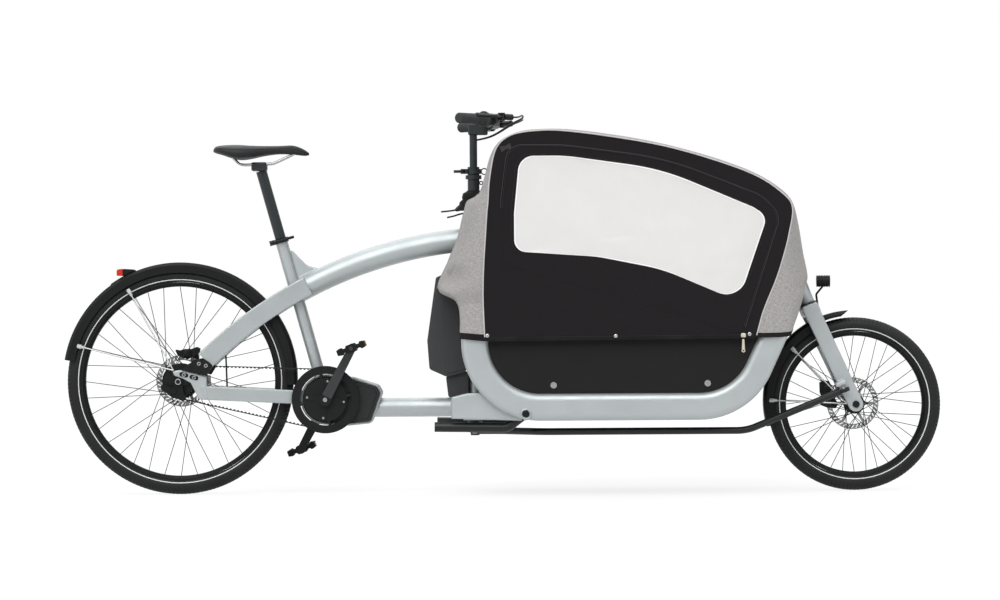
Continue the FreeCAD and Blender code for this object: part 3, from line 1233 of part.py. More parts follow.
cloth = canopy_volume(0).cut(canopy_volume(cloth_t))
hem_cut = Part.Face(Part.makePolygon([V(1640, y, z) for y, z in (
    (-320, hem_z - 30), (-320, hem_z), (-200, 470), (-112, 530), (-88, 596), (88, 596), (112, 530),
    (200, 470), (320, hem_z), (320, hem_z - 30), (-320, hem_z - 30))])).extrude(V(300, 0, 0))
slot = box(700, column_x + column_tube_r + 10, -column_slot, column_slot, hem_z - 40, 840)
cap_hole = cyl(V(column_x, 0, 780), V(column_x, 0, 1000), sleeve_r + 16)
cloth = cloth.cut([hem_cut, slot, cap_hole])
black_outline = [(890, hem_z - 5), (884, 720), (926, 1030 - roof_edge), (1110, 1031 - roof_edge),
                 (1398, 990 - roof_edge), (1686, 890 - roof_edge), (1756, 808), (1645, hem_z - 5)]
door_outline = [(930, 655), (932, 830), (952, 990), (1110, 989), (1390, 951), (1660, 845), (1712, 790),
                (1603, 456)]
door_radii = [12, 300, 46, 500, 900, 120, 50, 12]
window_outline = [(966, 692), (966, 800), (982, 961), (1110, 961), (1380, 922), (1640, 812), (1676, 786),
                  (1592, 562), (1380, 640), (1200, 676)]
window_radii = [34, 200, 30, 500, 700, 60, 34, 34, 500, 400]
sides = []
doors = {}
for side in SIDES:
    reach = (side * 150, side * 400)
    patch = side_prism(black_outline, [0, 500, 68, 500, 900, 200, 34, 0], *reach)
    black = cloth.common(patch)
    door_cut = side_prism(door_outline, door_radii, *reach)
    pane_cut = side_prism(window_outline, window_radii, *reach)
    black = max(black.Solids, key=lambda s: s.Volume)
    door = black.common(door_cut)
    hole = Part.Face(rounded([V(x, reach[0], z) for x, z in door_outline], door_radii))
    border = black.cut(hole.makeOffset2D(gap).extrude(V(0, reach[1] - reach[0], 0)))
    sides.append(max(border.Solids, key=lambda s: s.Volume))
    flap = max(door.cut(pane_cut).Solids, key=lambda s: s.Volume)
    pane = max(door.common(pane_cut).Solids, key=lambda s: s.Volume)
    doors[side] = [flap, pane]
    cloth = cloth.cut(patch)
cover = max(cloth.Solids, key=lambda s: s.Volume)
rear_region = box(600, rear_seam_x, -400, 400, 300, 1200)
nose_region = box(nose_seam_x, 1900, -400, 400, 300, nose_seam_z)
panels = []
for cut in (cover.common(rear_region), cover.cut([rear_region, nose_region]), cover.common(nose_region)):
    for side in SIDES:
        half = box(600, 1900, min(0, side * 400), max(0, side * 400), 300, 1200)
        panels.append(max(cut.common(half).Solids, key=lambda s: s.Volume))
save("canopy_cover", panels)
save("canopy_sides", sides)
save("canopy_door_right", doors[-1])
save("canopy_door_left", doors[1])

bows = []
for foot_x, top_x, top_z in ((908, 962, 1004), (1636, 1714, 812)):
    foot_y = rail_y
    share = bow_bend / (top_z - panel_top)
    high_y = (half_width_at(top_z - bow_bend, cloth_t + bow_r + gap + seat) - foot_y * share) / (1 - share)
    route = [V(foot_x, -foot_y, panel_top), V(top_x, -high_y, top_z), V(top_x, high_y, top_z),
             V(foot_x, foot_y, panel_top)]
    below = box(foot_x - 50, foot_x + 50, -foot_y - 50, foot_y + 50, panel_top - 60, panel_top + seat)
    bows.append(bent_tube(route, bow_bend, bow_r).cut(below))
save("canopy_bows", bows)
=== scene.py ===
from math import cos, pi, radians, sin

import bmesh
import bpy
import numpy as np
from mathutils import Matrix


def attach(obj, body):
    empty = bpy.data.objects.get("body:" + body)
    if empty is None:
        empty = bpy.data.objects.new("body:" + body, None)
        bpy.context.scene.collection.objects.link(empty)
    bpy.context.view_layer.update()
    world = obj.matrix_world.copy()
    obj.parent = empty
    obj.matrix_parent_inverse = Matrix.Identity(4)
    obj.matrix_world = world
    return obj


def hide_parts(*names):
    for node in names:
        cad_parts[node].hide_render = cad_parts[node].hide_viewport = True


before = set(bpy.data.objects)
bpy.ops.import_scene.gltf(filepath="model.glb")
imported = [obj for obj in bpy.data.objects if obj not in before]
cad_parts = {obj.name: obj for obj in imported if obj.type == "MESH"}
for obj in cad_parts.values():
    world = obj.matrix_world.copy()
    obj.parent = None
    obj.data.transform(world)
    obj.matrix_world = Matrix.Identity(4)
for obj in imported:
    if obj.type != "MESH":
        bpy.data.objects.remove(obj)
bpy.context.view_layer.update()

# Studio: white paper under the bicycle, one broad soft lamp in front, and weaker ones overhead and behind.
# Grey cards stand far out at both sides, where only paint, metal and plastic mirror them.
scene = bpy.context.scene
scene.view_settings.view_transform = "Standard"


def linear(hex_colour):
    """The linear values of an sRGB hex colour."""
    srgb = np.array([int(hex_colour[i:i + 2], 16) for i in (1, 3, 5)]) / 255
    return tuple(np.where(srgb < 0.04045, srgb / 12.92, ((srgb + 0.055) / 1.055) ** 2.4)) + (1.0,)


def add(tree, kind, inputs=(), **settings):
    """Adds one shader node, sets its fields, and sets the inputs that are named, or links them to a socket or to
    another node's first output."""
    made = tree.nodes.new("ShaderNode" + kind)
    for field, value in settings.items():
        setattr(made, field, value)
    for place, value in dict(inputs).items():
        if isinstance(value, bpy.types.Node):
            value = value.outputs[0]
        if isinstance(value, bpy.types.NodeSocket):
            tree.links.new(value, made.inputs[place])
        else:
            made.inputs[place].default_value = value
    return made


def two_looks(tree, output, lighting, backdrop):
    """Ends a node tree with one look that lights the bicycle and one for the rays that see the plain backdrop: from
    the camera, off gloss and through film."""
    rays = add(tree, "LightPath").outputs
    seen = add(tree, "Math", {0: rays["Is Camera Ray"], 1: rays["Is Glossy Ray"]}, operation="MAXIMUM")
    seen = add(tree, "Math", {0: seen, 1: rays["Is Transmission Ray"]}, operation="MAXIMUM")
    add(tree, output, {"Surface": add(tree, "MixShader", {0: seen, 1: lighting, 2: backdrop})})


scene.world = bpy.data.worlds.new("studio")
scene.world.use_nodes = True
tree = scene.world.node_tree
tree.nodes.clear()
room = add(tree, "Background", {"Color": (1, 1, 1, 1), "Strength": 0.42})
backdrop = add(tree, "Background", {"Color": (1, 1, 1, 1), "Strength": 1.0})
two_looks(tree, "OutputWorld", room, backdrop)

paper = bpy.data.materials.new("white_paper")
paper.use_nodes = True
tree = paper.node_tree
tree.nodes.clear()
plain = add(tree, "BsdfDiffuse", {"Color": (0.85, 0.85, 0.85, 1)})
glow = add(tree, "Emission", {"Color": (1, 1, 1, 1), "Strength": 0.8})
shaded = add(tree, "BsdfDiffuse", {"Color": (0.22, 0.22, 0.22, 1)})
two_looks(tree, "OutputMaterial", plain, add(tree, "AddShader", {0: glow, 1: shaded}))

card = bpy.data.materials.new("grey_card")
card.use_nodes = True
card.node_tree.nodes["Principled BSDF"].inputs["Base Color"].default_value = linear("#5C6062")


def studio_sheet(name, corners, material):
    """A flat sheet of the studio through four corners."""
    mesh = bpy.data.meshes.new(name)
    mesh.from_pydata(corners, [], [(0, 1, 2, 3)])
    mesh.materials.append(material)
    made = bpy.data.objects.new(name, mesh)
    scene.collection.objects.link(made)
    return made


floor_half = 40.0
card_half, card_foot, card_top = 9.0, 0.3, 5.0
square = ((-1, -1), (1, -1), (1, 1), (-1, 1))
studio_sheet("floor", [(x * floor_half, y * floor_half, 0) for x, y in square], paper)
for card_y in (-15.0, 15.0):
    sheet = studio_sheet("card", [(x * card_half, card_y, card_top if z > 0 else card_foot) for x, z in square], card)
    sheet.visible_camera = False
    sheet.visible_transmission = False
    sheet.visible_shadow = False

for lamp_name, strength, spread, turn in (
        ("front_lamp", 1.75, 50, (48, 0, -14)), ("top_lamp", 0.85, 80, (-8, 6, 0)),
        ("back_lamp", 0.7, 70, (-52, 0, 12))):
    lamp = bpy.data.lights.new(lamp_name, "SUN")
    lamp.energy = strength
    lamp.angle = radians(spread)
    lamp_object = bpy.data.objects.new(lamp_name, lamp)
    lamp_object.rotation_euler = [radians(a) for a in turn]
    scene.collection.objects.link(lamp_object)

camera = bpy.data.cameras.new("camera")
camera.sensor_width = 36.0
camera.lens = 137.0
camera_object = bpy.data.objects.new("camera", camera)
camera_object.location = (-0.0065, -11.0, 0.5552)
camera_object.rotation_euler = (radians(90), radians(0.36), 0)
scene.collection.objects.link(camera_object)
scene.camera = camera_object

# Frame: bent and welded aluminium tubes under one coat of silver powder paint with fine metal flake.
# The seat tube, arched top tube, stays, motor cradle, column tube, side rails, front tubes and fork share it.
# Points are in millimetres from the ground under the rear axle; the frame's middle lies ahead of it.
frame_middle = np.array([930.818, 0, 0])


def solid_finish(name, colour, roughness, grain, spread, relief, sockets=(), patch=70.0, edge=0.0, metallic=0.0,
                 specular=0.5):
    """A solid material: its colour strays by spread from grain to grain, its gloss over larger patches,
    the grains stand up by relief, and thick paint rounds the edges by edge. All sizes are in millimetres."""
    made = bpy.data.materials.new(name)
    made.use_nodes = True
    tree = made.node_tree
    shader = tree.nodes["Principled BSDF"]
    place = add(tree, "TexCoord").outputs["Object"]
    grains = add(tree, "TexNoise", {"Vector": place, "Scale": 1000 / grain, "Detail": 3.0, "Roughness": 0.6})
    tint = np.array(linear(colour))
    low, high = (tuple(np.clip(tint * k, 0, 1)[:3]) + (1.0,) for k in (1 - 2 * spread, 1 + 2 * spread))
    hue = add(tree, "Mix", {0: grains, 6: low, 7: high}, data_type="RGBA")
    tree.links.new(hue.outputs[2], shader.inputs["Base Color"])
    wear = add(tree, "TexNoise", {"Vector": place, "Scale": 1000 / patch, "Detail": 4.0})
    gloss = add(tree, "MapRange", {"Value": wear, "From Min": 0.3, "From Max": 0.7,
                                   "To Min": roughness * 0.85, "To Max": roughness * 1.15})
    tree.links.new(gloss.outputs[0], shader.inputs["Roughness"])
    if relief:
        raised = add(tree, "Bump", {"Height": grains, "Distance": relief / 1000, "Strength": 1.0})
        tree.links.new(raised.outputs[0], shader.inputs["Normal"])
    if edge:
        softened = add(tree, "Bevel", {"Radius": edge / 1000}, samples=6)
        tree.links.new(softened.outputs[0], raised.inputs["Normal"])
    for socket, value in {"Metallic": metallic, "Specular IOR Level": specular, **dict(sockets)}.items():
        shader.inputs[socket].default_value = value
    return made


def dress(material, *nodes):
    """Gives whole CAD nodes one finish."""
    for node in nodes:
        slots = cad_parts[node].data.materials
        slots.clear()
        slots.append(material)


def dress_part(material, node, chosen):
    """Gives a second finish to the faces of a CAD node whose middles, in millimetres, chosen picks."""
    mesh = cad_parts[node].data
    middles = np.empty(len(mesh.polygons) * 3, np.float32)
    mesh.polygons.foreach_get("center", middles)
    picked = chosen(*(middles.reshape(-1, 3) * 1000 + frame_middle).T)
    mesh.materials.append(material)
    finishes = np.zeros(len(mesh.polygons), np.int32)
    mesh.polygons.foreach_get("material_index", finishes)
    finishes[picked] = len(mesh.materials) - 1
    mesh.polygons.foreach_set("material_index", finishes)


# Powder paint with aluminium flake: a pale grey that brightens towards the lamp, under a thin clear coat.
silver_powder_paint = solid_finish("silver_powder_paint", "#B4BABB", 0.44, 0.5, 0.05, 0.006,
                                   {"Metallic": 0.55, "Coat Weight": 0.12, "Coat Roughness": 0.2}, edge=7.0)
dress(silver_powder_paint, "top_tube", "seat_tube", "rear_stays", "lower_frame", "column_tube", "side_rails",
      "front_head_tube", "fork", "dropout_plates")
SIDES = (("right", -1), ("left", 1))


def mesh_piece(name, points, faces, material, body, surface=None, solid=False):
    """One piece from points in millimetres from the rear axle and its faces. surface holds each point's place on
    the flat cloth, in metres, for its UV map. The faces of a solid piece are turned outwards."""
    mesh = bpy.data.meshes.new(name)
    mesh.from_pydata(((points.reshape(-1, 3) - frame_middle) / 1000).tolist(), [], faces)
    if surface is not None:
        corners = np.empty(len(mesh.loops), np.int32)
        mesh.loops.foreach_get("vertex_index", corners)
        mesh.uv_layers.new(name="cloth").data.foreach_set("uv", surface.reshape(-1, 2)[corners].ravel())
    shell = bmesh.new()
    shell.from_mesh(mesh)
    bmesh.ops.remove_doubles(shell, verts=shell.verts, dist=1e-6)
    if solid:
        bmesh.ops.recalc_face_normals(shell, faces=shell.faces)
    shell.to_mesh(mesh)
    shell.free()
    mesh.shade_smooth()
    mesh.set_sharp_from_angle(angle=radians(38))
    mesh.materials.append(material)
    made = bpy.data.objects.new(name, mesh)
    scene.collection.objects.link(made)
    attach(made, body)
    return made


def piece(name, points, material, body, closed=(False, False), ends=False, turn=False, surface=None, cut=None):
    """One piece over a grid of points: four neighbours make a face. closed joins the last row or column to the
    first, ends fills the first and last row, turn flips the faces, and cut marks those that are left out."""
    rows, columns = points.shape[:2]
    index = np.arange(rows * columns).reshape(rows, columns)
    if closed[0]:
        index = np.vstack([index, index[:1]])
    if closed[1]:
        index = np.hstack([index, index[:, :1]])
    faces = np.stack([index[:-1, :-1], index[1:, :-1], index[1:, 1:], index[:-1, 1:]], -1)
    faces = faces.reshape(-1, 4) if cut is None else faces[~cut]
    faces = (faces[:, ::-1] if turn else faces).tolist()
    if ends:
        faces += [index[0, :columns].tolist(), index[rows - 1, :columns][::-1].tolist()]
    return mesh_piece(name, points, faces, material, body, surface, ends or all(closed))


def fitted(name, points, material, body, ring=False, surface=None):
    """A closed piece: each row of points joins round, and the first and last rows are filled, or meet in a ring."""
    made = piece(name, points, material, body, (ring, True), not ring, surface=surface)
    return made


def unit(vectors):
    """Each vector at length one."""
    return vectors / np.linalg.norm(vectors, axis=-1, keepdims=True)


def plate(outline, y0, y1, bevel):
    """A flat plate: an outline in side view carried from one depth to another, its rims drawn in by a bevel."""
    outline = np.asarray(outline, float)
    inward = unit(outline.mean(0) - outline)
    step = bevel * np.sign(y1 - y0)
    rings = [(bevel, y0), (0, y0 + step), (0, y1 - step), (bevel, y1)]
    flat = np.stack([outline + inward * inset for inset, _ in rings])
    depth = np.repeat(np.array([y for _, y in rings])[:, None, None], len(outline), 1)
    return np.concatenate([flat[..., :1], depth, flat[..., 1:]], -1)


def rounded_loop(corners, radii):
    """A closed outline with each corner turned into an arc of that radius."""
    corners = np.asarray(corners, float)
    loop = []
    for k, radius in enumerate(radii):
        here = corners[k]
        u, w = unit(corners[k - 1] - here), unit(corners[(k + 1) % len(corners)] - here)
        half_angle = np.arccos(np.clip(u @ w, -1, 1)) / 2
        middle = here + unit(u + w) * radius / sin(half_angle)
        start, end = here + u * radius / np.tan(half_angle), here + w * radius / np.tan(half_angle)
        share = np.linspace(0, 1, 16)[:, None]
        arc = (start - middle) * (1 - share) + (end - middle) * share
        loop.append(middle + unit(arc) * radius)
    return np.vstack(loop)


# The junction's cheeks: pressed plates, welded outside the cross member up to the rails' round outer edge.
bend_middle, bend_r = np.array([1037.0, 437.0]), 219.0
edge_x = np.linspace(872, 984, 30)
rail_edge = np.stack([edge_x, bend_middle[1] - np.sqrt(bend_r ** 2 - (bend_middle[0] - edge_x) ** 2)], -1)
junction_cheek = np.vstack([[(984, 214), (787, 221), (787, 281), (830, 292)], rail_edge])
for side_name, side in SIDES:
    fitted("junction_cheek_" + side_name, plate(junction_cheek, side * 200.5, side * 262, 1.5), silver_powder_paint,
           "frame")

# Bolts, axles and bearings: turned and zinc-plated steel; a fine grain breaks the shine of the heads.
# The splice plates and axle sliders at the dropouts, and the gear hub's cable fitting, are black.
# Plating gleams, anodised aluminium keeps a soft dark sheen, and moulded plastic is a dull, grained black.
plated_steel = solid_finish("plated_steel", "#B4B6B5", 0.28, 0.35, 0.08, 0.01, metallic=1.0)
black_anodised = solid_finish("black_anodised_aluminium", "#131415", 0.4, 0.4, 0.12, 0.006, metallic=0.2, specular=0.3)
moulded_black = solid_finish("moulded_black_plastic", "#0D0E0E", 0.5, 0.8, 0.12, 0.02, specular=0.22)
crown_seal = np.array([(1789.2, 527.9), (1836.8, 546.1), (1835.9, 548.5), (1788.3, 530.3)])
fitted("crown_seal", plate(crown_seal, -68, 68, 0.4), moulded_black, "front_fork")
dress(plated_steel, "frame_bolts", "headset_bearings")
dress(black_anodised, "front_axle")
dress(moulded_black, "rear_axle")
dress_part(black_anodised, "dropout_plates", lambda x, y, z: (np.abs(y) > 85) | (np.abs(y) < 76))
for bolt_x, bolt_z in ((36, 364), (60, 355)):
    dress_part(black_anodised, "frame_bolts", lambda x, y, z: np.hypot(x - bolt_x, z - bolt_z) < 7)


def turned(profile, start, axis, count=64):
    """A profile of distances along an axis and radii, turned about that axis."""
    axis = unit(np.asarray(axis, float))
    first = unit(np.cross(axis, (0.31, 0.27, 0.91)))
    second = np.cross(axis, first)
    angle = np.linspace(0, 2 * pi, count, endpoint=False)[:, None]
    ring = np.cos(angle) * first + np.sin(angle) * second
    profile = np.asarray(profile, float)
    return np.asarray(start, float) + profile[:, None, :1] * axis + profile[:, None, 1:] * ring[None]


def tilted(outline, degrees, middle):
    """An outline in side view, turned by degrees and carried to its middle."""
    turn = radians(degrees)
    return np.asarray(outline, float) @ [[cos(turn), sin(turn)], [-sin(turn), cos(turn)]] + middle


slider_slot = rounded_loop([(-13, -6.5), (13, -6.5), (13, 6.5), (-13, 6.5)], [6.4] * 4)
axle_nut = [(0, 6.05), (0, 8.6), (8, 8.6), (9.2, 7.4), (9.2, 6.05)]
for side_name, side in SIDES:
    nut = turned(axle_nut, (0, side * 86.8, 326.5), (0, side, 0), 40)
    fitted("axle_nut_" + side_name, nut, plated_steel, "frame", ring=True)
    for k, middle in enumerate(((16, 346), (45, 338))):
        inset = plate(tilted(slider_slot, -15, middle), side * 83.4, side * 84.1, 0.2)
        fitted(f"slider_slot_{side_name}_{k}", inset, moulded_black, "frame")
    # Each bolt's hex socket is drawn as a thin black disc on its head: painted shade that stands in for the recess.
    for k, (x, z) in enumerate(((60, 378), (80, 372), (16, 346), (45, 338))):
        face = side * (94.3 if k < 2 else 86.3)
        socket = turned([(0, 0.01), (0, 2.7), (0.5, 2.7), (0.5, 0.01)], (x, face, z), (0, side, 0), 24)
        fitted(f"socket_shade_disc_{side_name}_{k}", socket, moulded_black, "frame")

# Wheels: vulcanised rubber tyres on black anodised rims, laced with black steel spokes to cast hubs.
# The tyres are moulded with tread blocks, and carry a thin reflecting band on each wall.
# Rubber is dull and grainy, the band near white, the wire has a faint gleam, and the ground disc is a bright grey.
rubber = solid_finish("vulcanised_rubber", "#151617", 0.62, 0.9, 0.10, 0.03, specular=0.3)
reflecting_band = solid_finish("reflecting_band", "#DFE1E0", 0.4, 0.3, 0.05, 0.01)
spoke_black = solid_finish("blacked_steel_wire", "#1C1E20", 0.4, 0.3, 0.1, 0.0, metallic=0.6, specular=0.3)
brushed_disc = solid_finish("ground_disc_steel", "#9C9E9D", 0.32, 0.25, 0.12, 0.01, metallic=1.0)


rear_r, front_r, front_x = 326.5, 249.5, 1945.0
tyre_half, tyre_inside, groove_depth = 23.5, 19.5, 1.7


def tyre_surface(x, z, outer, blocks):
    """A tyre turned about its axle: round its section from bead to bead and back inside, with tread blocks
    between two long grooves, cut by slanting grooves towards the shoulders."""
    round_wheel = np.linspace(0, 2 * pi, blocks * 6, endpoint=False)[:, None]
    over = np.radians(np.concatenate([np.linspace(-134, -62, 9), np.linspace(-56, 56, 33), np.linspace(62, 134, 9)]))
    inside = np.radians(np.linspace(134, -134, 9))
    wall = np.concatenate([over, inside])[None, :]
    section = np.concatenate([np.full(over.size, tyre_half), np.full(inside.size, tyre_inside)])[None, :]
    across = np.degrees(wall)
    long_groove = np.exp(-((np.abs(across) - 17) / 3.2) ** 2)
    slant = (round_wheel * blocks / (2 * pi) + np.abs(across) / 60) % 1
    cross_groove = np.clip(1.6 - np.abs(slant - 0.5) * 9, 0, 1) * (np.abs(across) > 19) * (np.abs(across) < 58)
    middle_groove = np.clip(1.3 - np.abs(slant - 0.1) * 9, 0, 1) * (np.abs(across) < 14)
    depth = groove_depth * np.maximum(np.maximum(long_groove, cross_groove), middle_groove * 0.8)
    depth = np.where(section > tyre_inside, depth, 0)
    radius = outer - tyre_half + (section - depth) * np.cos(wall)
    y = (section - depth) * np.sin(wall) + 0 * round_wheel
    return np.stack([x + radius * np.cos(round_wheel), y, z + radius * np.sin(round_wheel)], -1)


def band_surface(x, z, outer, side):
    """A narrow ring laid on a tyre's wall, a little proud of the rubber."""
    round_wheel = np.linspace(0, 2 * pi, 240, endpoint=False)[:, None]
    wall = np.radians(np.linspace(111.5, 118.5, 5))[None, :]
    proud = tyre_half + 0.45 * np.sin(np.linspace(0, pi, 5))[None, :]
    radius = outer - tyre_half + proud * np.cos(wall)
    y = side * proud * np.sin(wall) + 0 * round_wheel
    return np.stack([x + radius * np.cos(round_wheel), y, z + radius * np.sin(round_wheel)], -1)


for wheel, x, outer, blocks in (("rear", 0.0, rear_r, 170), ("front", front_x, front_r, 130)):
    body = wheel + "_wheel"
    tyre = fitted(wheel + "_tyre_rubber", tyre_surface(x, outer, outer, blocks), rubber, body, ring=True)
    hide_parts(wheel + "_tyre")
    for side_name, side in SIDES:
        piece(f"{wheel}_{side_name}_band", band_surface(x, outer, outer, side), reflecting_band, body, (True, False),
              turn=side > 0)
dress(black_anodised, "rear_rim", "front_rim", "rear_hub", "front_hub")
dress(spoke_black, "rear_spokes", "front_spokes")
dress_part(brushed_disc, "rear_hub", lambda x, y, z: (np.abs(y - 51.5) < 1.3) & (np.hypot(x, z - rear_r) > 40))
dress_part(brushed_disc, "front_hub",
           lambda x, y, z: (np.abs(y - 38) < 1.3) & (np.hypot(x - front_x, z - front_r) > 34))

# Drive: a motor in a cast cradle, a toothed rubber belt between two pulleys, forged cranks and cage pedals.
# The motor's covers are moulded plastic; pulleys and cranks are machined and anodised.
# The belt is matt, the forging a satin grey, the cover softly grained, and the reflectors a glossy amber.
belt_rubber = solid_finish("belt_rubber", "#1B1C1D", 0.7, 0.6, 0.12, 0.03, specular=0.3)
grey_forging = solid_finish("grey_anodised_forging", "#464748", 0.34, 0.3, 0.08, 0.006, metallic=0.7)
moulded_cover = solid_finish("moulded_cover_plastic", "#1E1F1F", 0.5, 0.9, 0.1, 0.03, specular=0.35)
dress(moulded_cover, "motor_unit")
dress(moulded_black, "pedal_left", "pedal_right")
dress(belt_rubber, "belt")
dress(black_anodised, "front_pulley", "rear_pulley")
dress(grey_forging, "crank_arms")
dress_part(black_anodised, "crank_arms", lambda x, y, z: (np.hypot(x - 421, z - 272) < 19) | (y > 20))
amber_reflector = solid_finish("amber_reflector_plastic", "#D98A1E", 0.2, 2.5, 0.12, 0.15, {"Coat Weight": 0.5})

crank_x, crank_z, crank_face, spider_face, first_arm = 421.0, 272.0, 91.0, -69.2, 83
motor_cover = rounded_loop(np.array([(14, 54), (80, 47), (140, 29), (147, 14), (121, -55), (64, -60), (14, -54)])
                           + (crank_x, crank_z), [8, 8, 10, 10, 10, 8, 8])
for side_name, side in SIDES:
    fitted("motor_cover_" + side_name, plate(motor_cover, side * 44.5, side * 47.5, 1.2), moulded_cover, "frame")
    cap = turned([(-0.5, 0.01), (-0.5, 6.2), (1.4, 6.2), (2.2, 5.4), (2.2, 3), (0.6, 2.4), (0.6, 0.01)],
                 (crank_x, side * crank_face, crank_z), (0, side, 0), 36)
    fitted("crank_bolt_" + side_name, cap, plated_steel, "crankset")
turn = np.linspace(0, 2 * pi, 144, endpoint=False)
from_arm = np.abs((turn - radians(first_arm) + pi / 4) % (pi / 2) - pi / 4)
star = 27 + 33 * np.exp(-(from_arm / 0.21) ** 4)
spider = np.stack([crank_x + star * np.cos(turn), crank_z + star * np.sin(turn)], -1)
fitted("crank_spider", plate(spider, -66.5, spider_face, 0.7), black_anodised, "crankset")
for k in range(4):
    turn = radians(first_arm + 90 * k)
    dome = turned([(-0.4, 0.01), (-0.4, 3.4), (1.0, 3.4), (1.8, 2.6), (1.8, 0.01)],
                  (crank_x + 53 * cos(turn), spider_face, crank_z + 53 * sin(turn)), (0, -1, 0), 24)
    fitted(f"spider_bolt_{k}", dome, plated_steel, "crankset")
for side_name, side in SIDES:
    tip = np.array([crank_x, crank_z]) - side * 168 * np.array([cos(radians(62)), sin(radians(62))])
    for end_name, end in (("front", 1), ("back", -1)):
        strip = tilted([(end * 41.2, -5.5), (end * 43.2, -5.5), (end * 43.2, 5.5), (end * 41.2, 5.5)], 20, tip)
        fitted(f"pedal_reflector_{side_name}_{end_name}", plate(strip, side * 115, side * 171, 0.5), amber_reflector,
               side_name + "_pedal")

# Battery: a lithium pack in a dark grey moulded case, locked into a dock on the column's foot.
# A flat cheek is set into each side of the case, whose fine moulded grain makes it a soft dark grey.
battery_case = solid_finish("moulded_grey_case", "#373839", 0.5, 1.0, 0.08, 0.02, specular=0.4)
dress(battery_case, "battery", "battery_mount")
battery_cheek = rounded_loop([(764, 626), (820, 609), (821, 356), (766, 342)], [7, 6, 6, 7])
for side_name, side in SIDES:
    fitted("battery_cheek_" + side_name, plate(battery_cheek, side * 44.6, side * 47, 1.3), battery_case,
           "battery_pack")

# Mudguards, lamps and brakes: moulded guards on steel wires with screwed clips, plastic lamps, cast calipers.
# The head lamp's barrel is ribbed for cooling, and its lens is clear. Lenses and clips are smooth and glossy.
dress(moulded_black, "rear_mudguard", "front_mudguard", "front_light", "rear_light")
dress(black_anodised, "rear_brake_caliper", "front_brake_caliper")
for guard_node in ("rear_mudguard", "front_mudguard"):
    dress_part(plated_steel, guard_node, lambda x, y, z: np.abs(y) > 30.1)
red_lens = solid_finish("red_lens_plastic", "#C8321E", 0.15, 2.0, 0.06, 0.0, {"Coat Weight": 0.6})
clear_lens = solid_finish("clear_lens_plastic", "#D5D9DB", 0.1, 3.0, 0.05, 0.1, {"Coat Weight": 0.6})
dress_part(red_lens, "rear_light", lambda x, y, z: (x < -163.5) & (z > 629))
pale_plastic = solid_finish("pale_clip_plastic", "#BFC2C3", 0.3, 1.2, 0.08, 0.05, {"Coat Weight": 0.3})
clip = [(-3, 0.01), (-3, 5.2), (-1.5, 6.2), (9, 6.2), (10, 4.4), (17, 4.4), (19, 3.0), (19, 0.01)]
for guard_name, guard_body, tips, foot in (
        ("rear", "frame", ((-146.2, 32.2, 590), (-291.9, 32.2, 429.7)), (-14, 71.5, 358.6)),
        ("front", "front_fork", ((1766, 32.2, 409.8), (1702, 32.2, 261.7)), (1919, 67, 251.5))):
    for k, tip in enumerate(tips):
        for side_name, side in SIDES:
            start, end = np.array(tip) * (1, side, 1), np.array(foot) * (1, side, 1)
            fitted(f"{guard_name}_wire_clip_{side_name}_{k}", turned(clip, start, end - start, 24), pale_plastic,
                   guard_body)


def caliper(name, body, outline, bridge, y, cap):
    """A cast caliper: two cheeks astride the disc, joined by a bridge beyond its rim, with a round piston cap on
    each cheek."""
    cheek = rounded_loop(outline, [3] * len(outline))
    parts = [("inner", plate(cheek, y - 10, y - 2.2, 1.5)), ("outer", plate(cheek, y + 2.2, y + 10, 1.5)),
             ("bridge", plate(rounded_loop(bridge, [2] * len(bridge)), y - 6, y + 6, 1.0))]
    for cap_name, face in (("inner_cap", -1), ("outer_cap", 1)):
        profile = [(-1, 0.01), (-1, 12), (2.4, 12), (3.4, 10.5), (3.4, 7), (2.4, 6), (2.4, 0.01)]
        parts.append((cap_name, turned(profile, (cap[0], y + face * 10, cap[1]), (0, face, 0), 40)))
    made = [fitted(f"{name}_{part}", points, black_anodised, body) for part, points in parts]
    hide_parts(name)


caliper("rear_brake_caliper", "frame",
        [(-21, 418), (-5, 415), (8, 419), (28, 419), (44, 425), (54, 420), (51, 405), (33, 396), (17, 390), (2, 393),
         (-13, 402)],
        [(-14, 406), (10, 406.5), (30, 401), (44, 394), (50, 408), (40, 417), (8, 415)], 51.5, (16, 405))
caliper("front_brake_caliper", "front_fork",
        [(1849, 310), (1862, 317), (1877, 314), (1884, 298), (1881, 282), (1894, 264), (1903, 247), (1895, 235),
         (1871, 237), (1851, 245), (1857, 263), (1850, 281)],
        [(1852, 306), (1863, 312), (1866, 284), (1864, 250), (1855, 248), (1854, 280)], 38, (1870, 290))
rear_mount = plate([(26, 366), (48, 366), (48, 402), (26, 402)], 56, 85.6, 1)
front_mount = turned([(0, 0.01), (0, 5), (33, 5), (33, 0.01)], (1875, 45, 285), (33, 6, 0), 24)
fitted("rear_caliper_mount", rear_mount, black_anodised, "frame")
fitted("front_caliper_mount", front_mount, black_anodised, "front_fork")

along = np.linspace(0, 38, 115)
barrel = np.stack([along, 16.3 + 0.8 * np.tanh(4 * np.cos(2 * pi * along / 7.6))], -1)
barrel = np.vstack([[(-0.5, 0.01), (-0.5, 13)], barrel, [(38, 14.2), (34, 13.8), (34, 0.01)]])
lens = [(33.5, 0.01), (33.5, 13.4), (35.5, 12), (36.6, 8), (37, 0.01)]
lamp_start = np.array([1839.7, 0, 604])
for name, profile, finish in (("head_lamp_barrel", barrel, moulded_black), ("head_lamp_lens", lens, clear_lens)):
    fitted(name, turned(profile, lamp_start, (1, 0, 0)), finish, "front_fork")

